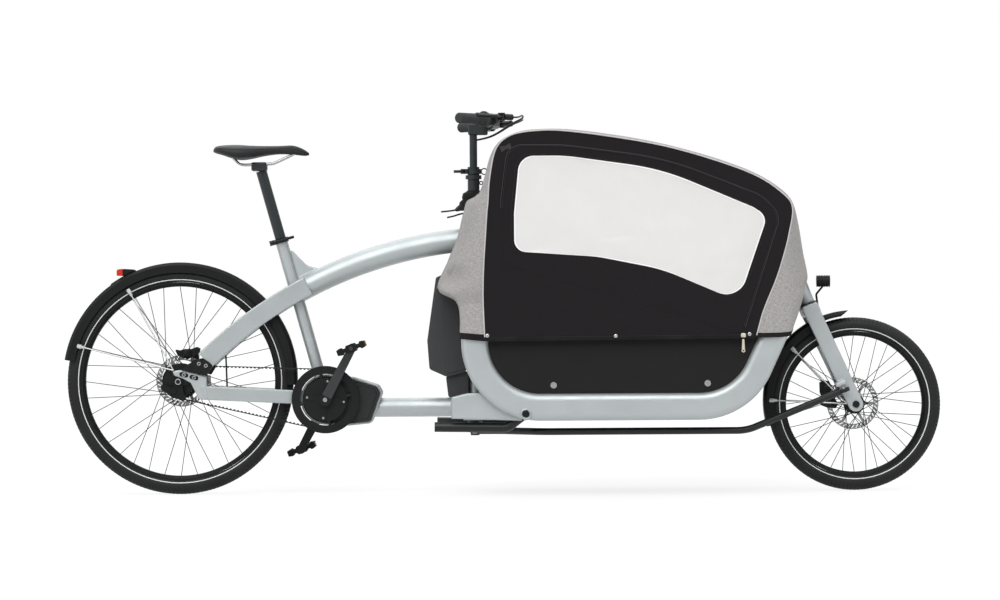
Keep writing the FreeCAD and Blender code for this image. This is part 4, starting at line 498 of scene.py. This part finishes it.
# Seat: a clamped aluminium post and a foam saddle in black coated fabric on bent steel rails.
# The cover is sewn along both flanks, where a seam stands up.
# Coated fabric has a fine matt grain; the post's thin anodising leaves a grey sheen.
black_coated_fabric = solid_finish("black_coated_fabric", "#1B1C1E", 0.55, 1.1, 0.10, 0.05, specular=0.35)
grey_black_anodised = solid_finish("grey_black_anodised_tube", "#313537", 0.36, 0.4, 0.1, 0.006,
                                   metallic=0.35, specular=0.4)
dress(grey_black_anodised, "seat_post")
dress(black_anodised, "seat_clamp", "seat_clamp_lever")


def through(knots, where):
    """A smooth path through knots, a Catmull-Rom cubic on each run, read at the numbers in where."""
    knots = np.asarray(knots, float)
    run = np.clip(where.astype(int), 0, len(knots) - 2)
    part = (where - run)[..., None]
    around = np.vstack([2 * knots[0] - knots[1], knots, 2 * knots[-1] - knots[-2]])
    a, b, c, d = (around[run + k] for k in range(4))
    return 0.5 * (2 * b + (c - a) * part + (2 * a - 5 * b + 4 * c - d) * part ** 2
                  + (3 * b - a - 3 * c + d) * part ** 3)


def saddle_surface(rows, columns):
    """Rings along the saddle: a crowned top with a shallow middle channel, skirts drawn in below, and a
    hollow underside. Each ring's half width, lowest and highest points come from the stations."""
    stations = [(100, 20, 986, 995), (107, 46, 982, 1003), (125, 66, 976, 1006.5), (156, 78, 964, 1008),
                (180, 79, 961, 1007.5), (208, 72, 965, 1005.5), (245, 52, 973, 1004.5), (288, 33, 978, 1005),
                (324, 25, 976.5, 1006), (345, 21, 974.5, 1001), (362, 16, 973.5, 993), (375, 7, 976, 984)]
    flank_height, hollow, channel_depth = 0.42, 0.3, 2.6
    along = through(stations, np.linspace(0, len(stations) - 1, rows))
    x, half, low, high = (along[:, k][:, None] for k in range(4))
    angle = np.linspace(0, 2 * pi, columns, endpoint=False)[None, :]
    c, s = np.cos(angle), np.sin(angle)
    y = half * np.sign(c) * np.abs(c) ** 0.8
    middle = low + (high - low) * flank_height
    z = np.where(s > 0, middle + (high - middle) * np.abs(s) ** 0.9, middle - (middle - low) * np.abs(s) ** 0.7)
    under = np.clip(1 - (y / (0.8 * half)) ** 2, 0, 1) * (s < 0)
    z = z + under * (high - low) * hollow
    channel = np.exp(-(y / 8) ** 2) * (s > 0) * np.clip((x - 128) / 30, 0, 1) * np.clip((335 - x) / 40, 0, 1)
    return np.stack([x + 0 * y, y, z - channel_depth * channel], -1)


saddle_points = saddle_surface(110, 96)
saddle = fitted("saddle_cover", saddle_points, black_coated_fabric, "saddle_post")
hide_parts("saddle")


def swept(path, section, up):
    """A section carried along a path: its first number lies aside, across the path and up, and its second
    along up, squared to the path."""
    ahead = unit(np.gradient(path, axis=0))
    aside = unit(np.cross(ahead, up))
    above = np.cross(aside, ahead)
    return path[:, None] + section[None, :, :1] * aside[:, None] + section[None, :, 1:] * above[:, None]


def oval(wide, high, count=12):
    """An oval section, by its half width and half height."""
    angle = np.linspace(0, 2 * pi, count, endpoint=False)
    return np.stack([wide * np.cos(angle), high * np.sin(angle)], -1)


for side_name, side in SIDES:
    rail_knots = np.array([(146, 27.5, 980), (160, 25, 966), (180, 22, 951), (225, 22, 951.4), (262, 22, 952.6),
                           (280, 19.5, 957), (322, 12.5, 976), (340, 10, 986)]) * (1, side, 1)
    path = through(rail_knots, np.linspace(0, 7, 80))
    fitted("saddle_rail_" + side_name, swept(path, oval(3.5, 3.5), (0, 1, 0)), plated_steel, "saddle_post")
    seam = swept(saddle_points[6:-5, 6 if side > 0 else 42], oval(1.2, 1.2, 8), (0, 0, 1))
    fitted("saddle_seam_" + side_name, seam, black_coated_fabric, "saddle_post")

# Steering: a column with a clamped telescopic post, a bent handlebar, ribbed grips and hydraulic brake levers.
# Post, stem and bar are black anodised; the grips are moulded rubber, and the hoses are plastic-coated.
# The grips are matt, the levers satin, and the hoses show a narrow highlight.
grip_rubber = solid_finish("grip_rubber", "#343536", 0.68, 0.7, 0.1, 0.04, specular=0.35)
dark_lever = solid_finish("satin_dark_aluminium", "#1B1D1E", 0.4, 0.35, 0.1, 0.0, metallic=0.4, specular=0.35)
hose_plastic = solid_finish("hose_plastic", "#121314", 0.42, 0.6, 0.1, 0.0, specular=0.35)
dress(grey_black_anodised, "steering_column", "stem", "handlebar")
dress(black_anodised, "brake_lever_clamps", "twist_shifter")
dress(dark_lever, "brake_lever_left", "brake_lever_right", "bar_clamp_lever")


def grip_profile(length):
    """A grip along its bar: a rounded end cap, then ribs 5 mm apart that swell and sink by half a millimetre,
    and a smooth inner collar."""
    along = np.linspace(3, length - 1, int(length * 2))
    ribs = 14.6 + 0.4 * np.tanh(3 * np.cos(2 * pi * along / 5)) + 0.9 * np.exp(-((along - length + 4) / 4) ** 2)
    cap = [(-4, 0.01), (-4, 9), (-3, 12.5), (-0.5, 14.4), (1.5, 15.0)]
    return np.vstack([cap, np.stack([along, ribs], -1), [(length, 15.0), (length, 11.25)]])


grip_tip = np.array([812, 302, 1068.0])
grip_dir = np.array([-0.6428, 0.7660, 0.0])
for (side_name, side), length in zip(SIDES, (78.0, 122.0)):
    mirror = np.array([1, side, 1])
    grip = fitted("grip_" + side_name, turned(grip_profile(length), grip_tip * mirror, -grip_dir * mirror, 48),
                  grip_rubber, "bar")
    if side < 0:
        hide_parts("grips")

along = np.linspace(79.4, 104, 90)
sleeve = np.stack([along, 17.2 + 0.6 * np.tanh(3 * np.cos(2 * pi * along / 4))], -1)
shifter_profile = np.vstack([[(79.2, 11.4), (79.2, 16)], sleeve, [(104.5, 20.5), (106, 22.8), (111, 22.8), (113, 21),
                             (119, 20), (120.8, 18), (120.8, 11.4)]])
shifter = fitted("twist_shifter_sleeve", turned(shifter_profile, grip_tip * (1, -1, 1), -grip_dir * (1, -1, 1), 60),
                 grip_rubber, "shifter", ring=True)
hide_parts("twist_shifter")

hose_route = [(960.19, 193.85, 1074), (980.76, 169.34, 1074), (990, 118, 1084), (996, 66, 1078), (962, 34, 1064),
              (910, 15, 1030), (874, 8, 1020), (860, 6, 1018)]
for side_name, side in SIDES:
    route = (np.array(hose_route) * (1, side, 1) - frame_middle) / 1000
    curve = bpy.data.curves.new("brake_hose_" + side_name, "CURVE")
    curve.dimensions = "3D"
    line = curve.splines.new("NURBS")
    line.points.add(len(route) - 1)
    line.points.foreach_set("co", np.hstack([route, np.ones((len(route), 1))]).ravel())
    line.use_endpoint_u = True
    line.order_u = 3
    line.resolution_u = 12
    curve.bevel_depth = 0.0025
    curve.bevel_resolution = 4
    curve.use_fill_caps = True
    curve.materials.append(hose_plastic)
    hose = bpy.data.objects.new("brake_hose_" + side_name, curve)
    scene.collection.objects.link(hose)
    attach(hose, "bar")
    if side < 0:
        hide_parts("control_hoses")

# Column boot: a moulded rubber gaiter round the column's head, above the canopy's slot.
# It is held by two nylon ties, whose tails stick out behind. Its rubber is the dullest black here.
gaiter_rubber = solid_finish("moulded_gaiter_rubber", "#101112", 0.75, 0.9, 0.15, 0.06, specular=0.25)
boot_profile = [(872, 18.6), (868, 23), (864, 31), (852, 34), (846, 32.5), (838, 38), (830, 36.8), (822, 43),
                (814, 47), (814, 45), (830, 35), (846, 31), (863, 29.8), (868, 20), (872, 17.7)]
column_x, sag_from = 850, 846
boot = turned(boot_profile, (column_x, 0, 0), (0, 0, 1), 72)
boot[..., 0] -= 0.35 * np.clip(sag_from - boot[..., 2], 0, None)
gather = np.arctan2(boot[..., 1], boot[..., 0] - column_x)
boot[..., 2] += 1.6 * np.sin(gather * 9) * np.clip((860 - boot[..., 2]) / 30, 0, 1)
fitted("column_boot", boot, gaiter_rubber, "frame", ring=True)
for tie_name, knots in (("upper", [(815, -26, 817), (800, -27, 815.5), (778, -27, 812.5), (756, -26, 810.5)]),
                        ("lower", [(822, -20, 806), (808, -22, 803), (792, -22, 798), (773, -21, 794)])):
    path = through(knots, np.linspace(0, 3, 24))
    fitted("boot_tie_" + tie_name, swept(path, oval(2.4, 2.6, 10), (0, 1, 0)), moulded_black, "frame")

# Tie rod and stand: bent steel tubes in a dark grey powder paint, under the floor of the box.
# The stand's pins turn in painted bosses on the rails. The paint is nearly black, with a soft light along the tubes.
dark_grey_paint = solid_finish("dark_grey_powder_paint", "#181B1B", 0.38, 0.5, 0.06, 0.006, metallic=0.3)
dress(dark_grey_paint, "tie_rod", "kickstand")
dress(plated_steel, "tie_rod_ball")
dress_part(moulded_black, "kickstand", lambda x, y, z: np.abs(y) > 294)
boss_profile = [(0, 11.2), (-0.5, 17), (1.6, 16.6), (2.4, 15), (2.4, 11.2)]
for side_name, side in SIDES:
    boss = turned(boss_profile, (995, side * 294, 234), (0, side, 0), 48)
    fitted("stand_boss_" + side_name, boss, silver_powder_paint, "frame", ring=True)

# Cargo box: plywood panels and floor faced with black film, screwed between the side rails.
# The pressed film leaves a dull, finely pebbled face.
film_faced_board = solid_finish("film_faced_board", "#0D0C0C", 0.5, 1.6, 0.12, 0.03, specular=0.25)
dress(film_faced_board, "box_panels", "cargo_floor")

# Canopy bows: two bent aluminium tubes that hold the cloth up, standing in the side panels' tops.
# They are anodised black, and show only when a door is open.
dress(black_anodised, "canopy_bows")

# Canopy cover: one sewn sheet of grey melange polyester, stretched from the rear rails over the bows to the nose.
# Its lower hem is bound with black tape, and a slot at the back leaves room for the column and the battery.


def cloth_finish(name, dark, light, thread, fleck, roughness, sheen, relief, specular):
    """Woven cloth: two sets of threads, thread millimetres apart, cross over and under on the cloth's own
    UV map, and flecks of that length in millimetres stray between a dark and a light colour."""
    made = bpy.data.materials.new(name)
    made.use_nodes = True
    tree = made.node_tree
    shader = tree.nodes["Principled BSDF"]
    place = add(tree, "UVMap", uv_map="cloth").outputs["UV"]
    yarns = []
    for scale in ((1000 / thread, 1000 / fleck, 1), (1000 / fleck, 1000 / thread, 1)):
        drawn_out = add(tree, "Mapping", {"Vector": place, "Scale": scale})
        yarns.append(add(tree, "TexNoise", {"Vector": drawn_out, "Scale": 1.0, "Detail": 3.0, "Roughness": 0.7}))
    mixed = add(tree, "Math", {0: yarns[0], 1: yarns[1]}, operation="ADD")
    mixed = add(tree, "MapRange", {"Value": mixed, "From Min": 0.72, "From Max": 1.28})
    hue = add(tree, "Mix", {0: mixed, 6: linear(dark), 7: linear(light)}, data_type="RGBA")
    tree.links.new(hue.outputs[2], shader.inputs["Base Color"])
    fine = add(tree, "Mapping", {"Vector": place, "Scale": (pi * 1000 / thread, pi * 1000 / thread, 1)})
    parts = add(tree, "SeparateXYZ", {0: fine})
    over = add(tree, "Math", {0: parts.outputs[0]}, operation="SINE")
    under = add(tree, "Math", {0: parts.outputs[1]}, operation="SINE")
    weave = add(tree, "Math", {0: over, 1: under}, operation="MULTIPLY")
    raised = add(tree, "Bump", {"Height": weave, "Distance": relief / 1000, "Strength": 1.0})
    tree.links.new(raised.outputs[0], shader.inputs["Normal"])
    shader.inputs["Roughness"].default_value = roughness
    shader.inputs["Sheen Weight"].default_value = sheen
    shader.inputs["Specular IOR Level"].default_value = specular
    return made


# Mixed light and dark yarns, drawn 1.6 mm apart so that they show, give the cloth its speckle.
black_tape = solid_finish("black_woven_tape", "#161416", 0.8, 0.9, 0.15, 0.05, specular=0.2)
grey_melange = cloth_finish("grey_melange_polyester", "#797573", "#C3C0BF", 1.6, 9.0, 0.85, 0.1, 0.25, 0.5)
side_edge = [(881, 440), (877, 545), (877, 600), (880, 671), (884, 729), (889, 803), (892, 831), (896, 890),
             (908, 960), (921, 991), (940, 1010), (969, 1024), (1019, 1032), (1096, 1033), (1226, 1017), (1378, 990),
             (1515, 952), (1644, 904), (1722, 852), (1750, 810), (1739, 735), (1722, 670), (1701, 607), (1665, 520),
             (1643, 444)]
middle_line = [(811, 447), (803, 546), (750, 590), (781, 668), (806, 729), (822, 803), (832, 838), (868, 864),
               (898, 962), (920, 1003), (944, 1021), (983, 1034), (1030, 1042), (1105, 1043), (1228, 1028),
               (1378, 1002), (1514, 966), (1640, 918), (1723, 870), (1760, 828), (1777, 770), (1790, 690),
               (1800, 605), (1770, 524), (1742, 446)]
squareness = [46, 40, 5, 4.5, 4.5, 4.5, 4.5, 4.5, 4, 3.5, 3, 3, 3, 3, 3, 3, 3, 3, 3, 3, 3.5, 4, 6, 18, 44]
cover_table = np.hstack([side_edge, middle_line, np.array(squareness)[:, None]])
nose_start, hem_end, columns, rows = 19.0, 24.0, 73, 289
canopy_middle = np.array([1330.0, 0, 700])
hem_half, lean, hem_z = 305.5, 0.075, 446
rear_fold, nose_ripple, roof_ripple, crease_depth, tuck_depth = 4.0, 3.0, 1.0, 8.0, 6.0


def run_along(path):
    """How far each point of a path lies from its start, along the path."""
    return np.concatenate([[0], np.cumsum(np.linalg.norm(np.diff(path, axis=0), axis=1))])


def half_width(z):
    """Half the canopy's width, which narrows upwards."""
    return hem_half - lean * (z - hem_z)


def cover_points(where, across):
    """The cover at a place along its length and a share of the half width: the side edge moves to the middle
    line by the root of one less the share to the power of the squareness."""
    along = through(cover_table, where)
    side_x, side_z, mid_x, mid_z, power = (along[..., k] for k in range(5))
    share = np.sqrt(np.clip(1 - np.abs(across) ** np.clip(power, 2.5, 60), 0, 1))
    return np.stack([side_x + (mid_x - side_x) * share, across * half_width(side_z),
                     side_z + (mid_z - side_z) * share], -1)


def outwards(points):
    """The surface's unit normals over a grid of points, turned away from the middle of the canopy."""
    normal = np.cross(np.gradient(points, axis=0), np.gradient(points, axis=1))
    normal /= np.linalg.norm(normal, axis=-1, keepdims=True) + 1e-9
    return normal * np.sign(np.sum(normal * (points - canopy_middle), -1, keepdims=True))


def cover_surface(side):
    """Half the cover, from the slot's edge or the middle to the side edge, and from the rear hem over the roof
    to the nose, where each column ends at the hem. Shallow folds run down the rear panel and the nose, and a
    crease runs beside the slot."""
    steps = np.linspace(0, hem_end, rows)
    slot_z = [446, 545, 593, 640, 838, 852, 859, 864]
    slot_y = [200, 200, 58, 54, 54, 42, 28, 0]
    middle_z = through(cover_table, steps)[:, 3]
    edge = np.where(steps < 8, np.interp(middle_z, slot_z, slot_y), 0) / half_width(middle_z)
    share = np.sin(np.linspace(0, pi / 2, columns))
    across = side * (edge[:, None] + (1 - edge[:, None]) * share[None, :])
    where = np.repeat(steps[:, None], columns, 1)
    fine = np.linspace(nose_start, hem_end, 400)
    nose = steps > nose_start
    for column in range(columns):
        trial = cover_points(fine, np.full(fine.size, across[-1, column]))
        hem = np.interp(np.abs(trial[:, 1]), [0, 88, 97, 112, 200, 306], [596, 596, 568, 530, 468, 446])
        last = fine[np.argmax(trial[:, 2] <= hem)] if (trial[:, 2] <= hem).any() else hem_end
        where[nose, column] = nose_start + (steps[nose] - nose_start) * (last - nose_start) / (hem_end - nose_start)
    points = cover_points(where, across)
    y = points[..., 1]
    inner = 1 - share[None, :] ** 6
    rear = np.exp(-((where - 3.2) / 2.2) ** 2) * inner
    nose_fold = np.exp(-((where - 22) / 1.8) ** 2) * inner
    from_slot = points[..., 0] - points[:, :1, 0]
    groove = np.interp(points[..., 2], [600, 640, 710, 812], [24, 19, 14, 7])
    crease = np.exp(-((from_slot - groove) / 3.5) ** 2) * np.clip((where - 2) / 0.4, 0, 1) * np.clip(7 - where, 0, 1)
    tuck = np.exp(-((points[..., 2] - 590 - 0.3 * (points[..., 0] - 1790)) / 11) ** 2) * nose_fold
    fold = (rear_fold * rear * np.sin(y / 17 + 0.9 * np.sin(points[..., 2] / 60))
            + nose_ripple * nose_fold * np.sin(y / 24 + points[..., 2] / 45)
            + roof_ripple * np.sin(where * 2.1 + y / 70) * (1 - share[None, :] ** 8)
            - crease_depth * crease - tuck_depth * tuck)
    points = points + outwards(points) * fold[..., None]
    lengths = run_along(points[:, columns // 2])
    widths = np.cumsum(np.linalg.norm(np.diff(points, axis=1), axis=2), 1)
    widths = np.concatenate([np.zeros((rows, 1)), widths], 1)
    flat = np.stack([side * widths, np.repeat(lengths[:, None], columns, 1)], -1) / 1000
    return points, flat


def bound_edge(strip):
    """A folded tape over a strip of the cloth's own points, from its edge inwards: a millimetre proud of it
    outside, turned over the edge."""
    lift = np.array([0.2, 1.3, 1.3, 1.3, -1.0])[:, None, None]
    share = np.array([1.0, 0.94, 0.5, 0.02, -0.04])[:, None, None]
    return strip[0] + (strip[-1] - strip[0]) * share + outwards(strip)[0] * lift


halves = [cover_surface(side) for _, side in SIDES]
open_slot = np.abs(halves[0][0][:, 0, 1]) > 1
cut = np.zeros((rows - 1, 2 * columns - 1), bool)
cut[:, columns - 1] = open_slot[:-1] | open_slot[1:]
cover = piece("canopy_cover_cloth", np.concatenate([halves[0][0][:, ::-1], halves[1][0]], 1), grey_melange, "frame",
              surface=np.concatenate([halves[0][1][:, ::-1], halves[1][1]], 1), cut=cut)
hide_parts("canopy_cover")
for (side_name, side), (half, _) in zip(SIDES, halves):
    for hem_name, strip in (("rear", half[:3]), ("nose", half[:-4:-1])):
        hem = piece(f"canopy_{hem_name}_hem_{side_name}", bound_edge(strip), black_tape, "frame")
    slot_edge = half[:, 0] + outwards(half)[:, 0] * 0.5
    for edge_name, first, last, radius, finish, slot in (("lower", 1, 25, 2.0, black_tape, "side_cloth"),
                                                         ("upper", 24, 84, 3.0, grey_melange, "cover")):
        roll = swept(slot_edge[first:last], oval(radius, radius * 0.8), (0, 1, 0))
        flat = np.stack(np.meshgrid(np.arange(roll.shape[1]) * 1.6, np.arange(len(roll)) * 4.0), -1) / 1000
        fitted(f"slot_{edge_name}_edge_{side_name}", roll, finish, "frame", surface=flat)

# Canopy sides: black polyester panels sewn to the cover, each with a zipped flap that carries a clear film window.
# The border stays on the frame; the flap and its window swing down about the seam below. Near the seam the flap is
# tucked behind the border, so that it clears it when open.
# The polyester is a matt black weave, the film smooth, pale and nearly clear, and the edging and piping show as thin
# light lines; zip and thread are black, and the slider's plating gleams.
black_polyester = cloth_finish("black_polyester", "#131113", "#1F1C1E", 1.2, 5.0, 0.85, 0.0, 0.15, 0.2)
clear_film = solid_finish("clear_vinyl_film", "#EDECEB", 0.2, 60.0, 0.02, 0.0,
                          {"Alpha": 0.88, "Coat Weight": 0.25, "Coat Roughness": 0.1})
clear_film.surface_render_method = "BLENDED"
white_vinyl = solid_finish("white_vinyl_edging", "#F6F6F5", 0.45, 2.0, 0.02, 0.01)
pale_piping = solid_finish("pale_grey_piping", "#C9C6C7", 0.8, 0.8, 0.08, 0.05)
zip_nylon = solid_finish("black_zip_nylon", "#1F1D1F", 0.5, 0.6, 0.12, 0.02)
pale_brass = solid_finish("plated_pale_brass", "#EFE6D3", 0.3, 0.4, 0.06, 0.01, metallic=1.0)
stitch_thread = solid_finish("black_sewing_thread", "#2A282A", 0.7, 0.5, 0.1, 0.03)
ray_middle = np.array([1330.0, 740.0])
seam_rear, seam_front = np.array([(930, 655), (1603, 456)])
seam_tuck, seam_fade = 1.0, 8.0


def ray_reach(loop, angles):
    """How far a closed outline lies from the middle of the side along rays at these angles."""
    fine = np.vstack([loop, loop[:1]])
    share = np.linspace(0, 1, 30, endpoint=False)[None, :, None]
    fine = (fine[:-1, None] * (1 - share) + fine[1:, None] * share).reshape(-1, 2) - ray_middle
    turn = np.arctan2(fine[:, 1], fine[:, 0])
    order = np.argsort(turn)
    return np.interp(angles, turn[order], np.hypot(fine[:, 0], fine[:, 1])[order], period=2 * pi)


door_loop = rounded_loop([seam_rear, (932, 830), (952, 990), (1110, 989), (1390, 951), (1660, 845), (1712, 790),
                          seam_front], [12, 300, 46, 500, 900, 120, 50, 24])
window_loop = rounded_loop([(966, 692), (966, 800), (982, 961), (1110, 961), (1380, 922), (1640, 812), (1678, 786),
                            (1595, 548), (1380, 640), (1200, 676)], [34, 200, 44, 500, 700, 60, 34, 58, 500, 400])
black_loop = through(side_edge, np.linspace(0, 24, 600))
corner_turns = np.arctan2(*(np.array([side_edge[0], side_edge[-1], seam_rear, seam_front]) - ray_middle).T[::-1])
rays = np.sort(np.concatenate([np.linspace(-pi, pi, 720, endpoint=False), corner_turns]))
black_reach, door_reach, window_reach = (ray_reach(loop, rays) for loop in (black_loop, door_loop, window_loop))


def side_surface(inner, outer, rows, side, proud=0.0, wave=0.0):
    """A panel of the side between two outlines, on the plane that leans in with the canopy's half width."""
    share = np.linspace(0, 1, rows)[:, None]
    reach = inner[None, :] + (outer - inner)[None, :] * share
    x = ray_middle[0] + reach * np.cos(rays)
    z = ray_middle[1] + reach * np.sin(rays)
    ripple = wave * np.sin(x / 83 + 0.8 * np.sin(z / 61)) * np.sin(z / 97 + 1.1 * np.sin(x / 140))
    ripple = ripple * 4 * share * (1 - share)
    y = side * (half_width(z) + proud + ripple)
    return np.stack([x, y, z], -1), np.stack([x, z], -1) / 1000


def above_seam(x, z):
    """Distance of a point in side view from the line of the door's lower seam."""
    along = seam_front - seam_rear
    return ((z - seam_rear[1]) * along[0] - (x - seam_rear[0]) * along[1]) / np.hypot(*along)


def on_side(outline, side, proud):
    """An outline in side view laid on the leaning side, proud of the cloth."""
    x, z = np.asarray(outline, float).T
    return np.stack([x, side * (half_width(z) + proud), z], -1)


def bars(path, out, length, gap, wide, high):
    """Short bars one after the other along a path: each a box, drawn in at its top, that stands out from the
    cloth. Gives all their points and faces."""
    run = run_along(path)
    middles = np.arange(length, run[-1] - length, length + gap)
    middle, beyond = (np.stack([np.interp(middles + s, run, path[:, k]) for k in range(3)], -1) for s in (0, 1))
    ahead = unit(beyond - middle)
    aside = np.cross(ahead, out)
    corners = np.array([(-5, -5, 0), (5, -5, 0), (5, 5, 0), (-5, 5, 0), (-4, -3, 10), (4, -3, 10), (4, 3, 10),
                        (-4, 3, 10)]) / 10 * (length, wide, high)
    points = middle[:, None] + corners[:, :1] * ahead[:, None] + corners[:, 1:2] * aside[:, None] + corners[:, 2:] * out
    sides = np.array([(0, 3, 2, 1), (4, 5, 6, 7), (0, 1, 5, 4), (1, 2, 6, 5), (2, 3, 7, 6), (3, 0, 4, 7)])
    faces = (sides[None] + 8 * np.arange(len(middles))[:, None, None]).reshape(-1, 4)
    return points, faces.tolist()


door_edge = np.roll(door_loop, -8, 0)[:-8]
door_edge = door_edge[above_seam(*door_edge.T) > 22]
hem_line = np.stack([np.linspace(884, 1641, 60), np.linspace(440.5, 444.5, 60)], -1)
for side_name, side in SIDES:
    door = "door_" + side_name
    out = np.array([0, side, lean])
    points, flat = side_surface(door_reach, black_reach, 12, side, 0.0, 2.0)
    border = piece("side_border_" + side_name, points, black_polyester, "frame", (False, True), surface=flat,
                   turn=side < 0)
    points, flat = side_surface(window_reach, door_reach, 10, side, 0.4, 1.5)
    points[..., 1] -= side * seam_tuck * np.exp(-above_seam(points[..., 0], points[..., 2]) / seam_fade)
    flap = piece("door_flap_" + side_name, points, black_polyester, door, (False, True), surface=flat, turn=side < 0)
    points, flat = side_surface(0 * window_reach, window_reach, 14, side, 0.4, 3.0)
    pane = piece("door_window_" + side_name, points, clear_film, door, (False, True), turn=side < 0)
    points, flat = side_surface(window_reach - 3, window_reach + 0.6, 3, side, 1.0)
    edging = piece("window_edging_" + side_name, points, white_vinyl, door, (False, True), turn=side < 0)
    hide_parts("canopy_door_" + side_name)
    if side < 0:
        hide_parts("canopy_sides")
    piping = swept(on_side(through(side_edge, np.linspace(0.1, 23.9, 480)), side, 0.6), oval(1.7, 1.7, 8), (0, 1, 0))
    piping = fitted("side_piping_" + side_name, piping, pale_piping, "frame")
    strip = np.stack([on_side(hem_line + (0, rise), side, lift) for rise, lift in
                      ((-1.5, -1.2), (-1.5, 1.4), (3, 1.7), (10.5, 1.6), (11.5, 0.2))])
    hem = piece("side_hem_" + side_name, strip, black_tape, "frame", turn=side < 0)
    for line_name, path, carrier, finish, bar in (
            ("hem_stitches_", on_side(hem_line + (0, 9), side, 1.5), "frame", stitch_thread, (4.0, 2.2, 0.9, 0.5)),
            ("window_stitches_", on_side(ray_middle + (window_loop - ray_middle) * 1.025, side, 0.8), door,
             stitch_thread, (4.0, 2.2, 0.9, 0.5)),
            ("zip_teeth_", on_side(door_edge, side, 0.6), door, zip_nylon, (1.6, 1.2, 2.8, 0.9))):
        points, faces = bars(path, out, *bar)
        mesh_piece(line_name + side_name, points, faces, finish, carrier, solid=True)
    welt = swept(on_side(ray_middle + (door_edge - ray_middle) * 1.012, side, 0.9), oval(1.2, 1.0, 8), (0, 1, 0))
    welt = fitted("zip_welt_" + side_name, welt, zip_nylon, "frame")
    for k, (x, z) in enumerate(((888, 455), (1249, 452), (1625, 455))):
        stud = turned([(-1.5, 0.01), (-1.5, 5.2), (0.8, 5.2), (1.8, 4.0), (2.2, 2.2), (1.7, 0.01)],
                      on_side([(x, z)], side, 1.4)[0], out, 24)
        fitted(f"press_stud_{side_name}_{k}", stud, plated_steel, "frame")
    tab = tilted([(-16, -9), (0, -5), (16, -9), (16, 9), (0, 5), (-16, 9)], 18, (943, 985))
    corner_y = side * (half_width(985) - 0.4)
    fitted("corner_tab_" + side_name, plate(tab, corner_y, corner_y + side * 3, 0.8), zip_nylon, "frame")
    slider_y = side * (half_width(452) + 1)
    slider = rounded_loop([(1601, 446), (1614, 446), (1615, 458), (1600, 458)], [3, 3, 5, 5])
    fitted("zip_slider_" + side_name, plate(slider, slider_y, slider_y + side * 5, 1.5), pale_brass, "frame")
    tab = rounded_loop([(1604, 441), (1610, 441), (1611.5, 413), (1602.5, 413)], [2, 2, 2, 2])
    fitted("zip_pull_" + side_name, plate(tab, slider_y + side * 3.4, slider_y + side * 6, 0.8), pale_brass, "frame")
    ring = turned([(0, 2.4), (0, 5.2), (1.2, 5.2), (1.2, 2.4)], (1607, slider_y + side * 5.6, 409), (0, side, 0), 32)
    fitted("zip_ring_" + side_name, ring, pale_brass, "frame", ring=True)
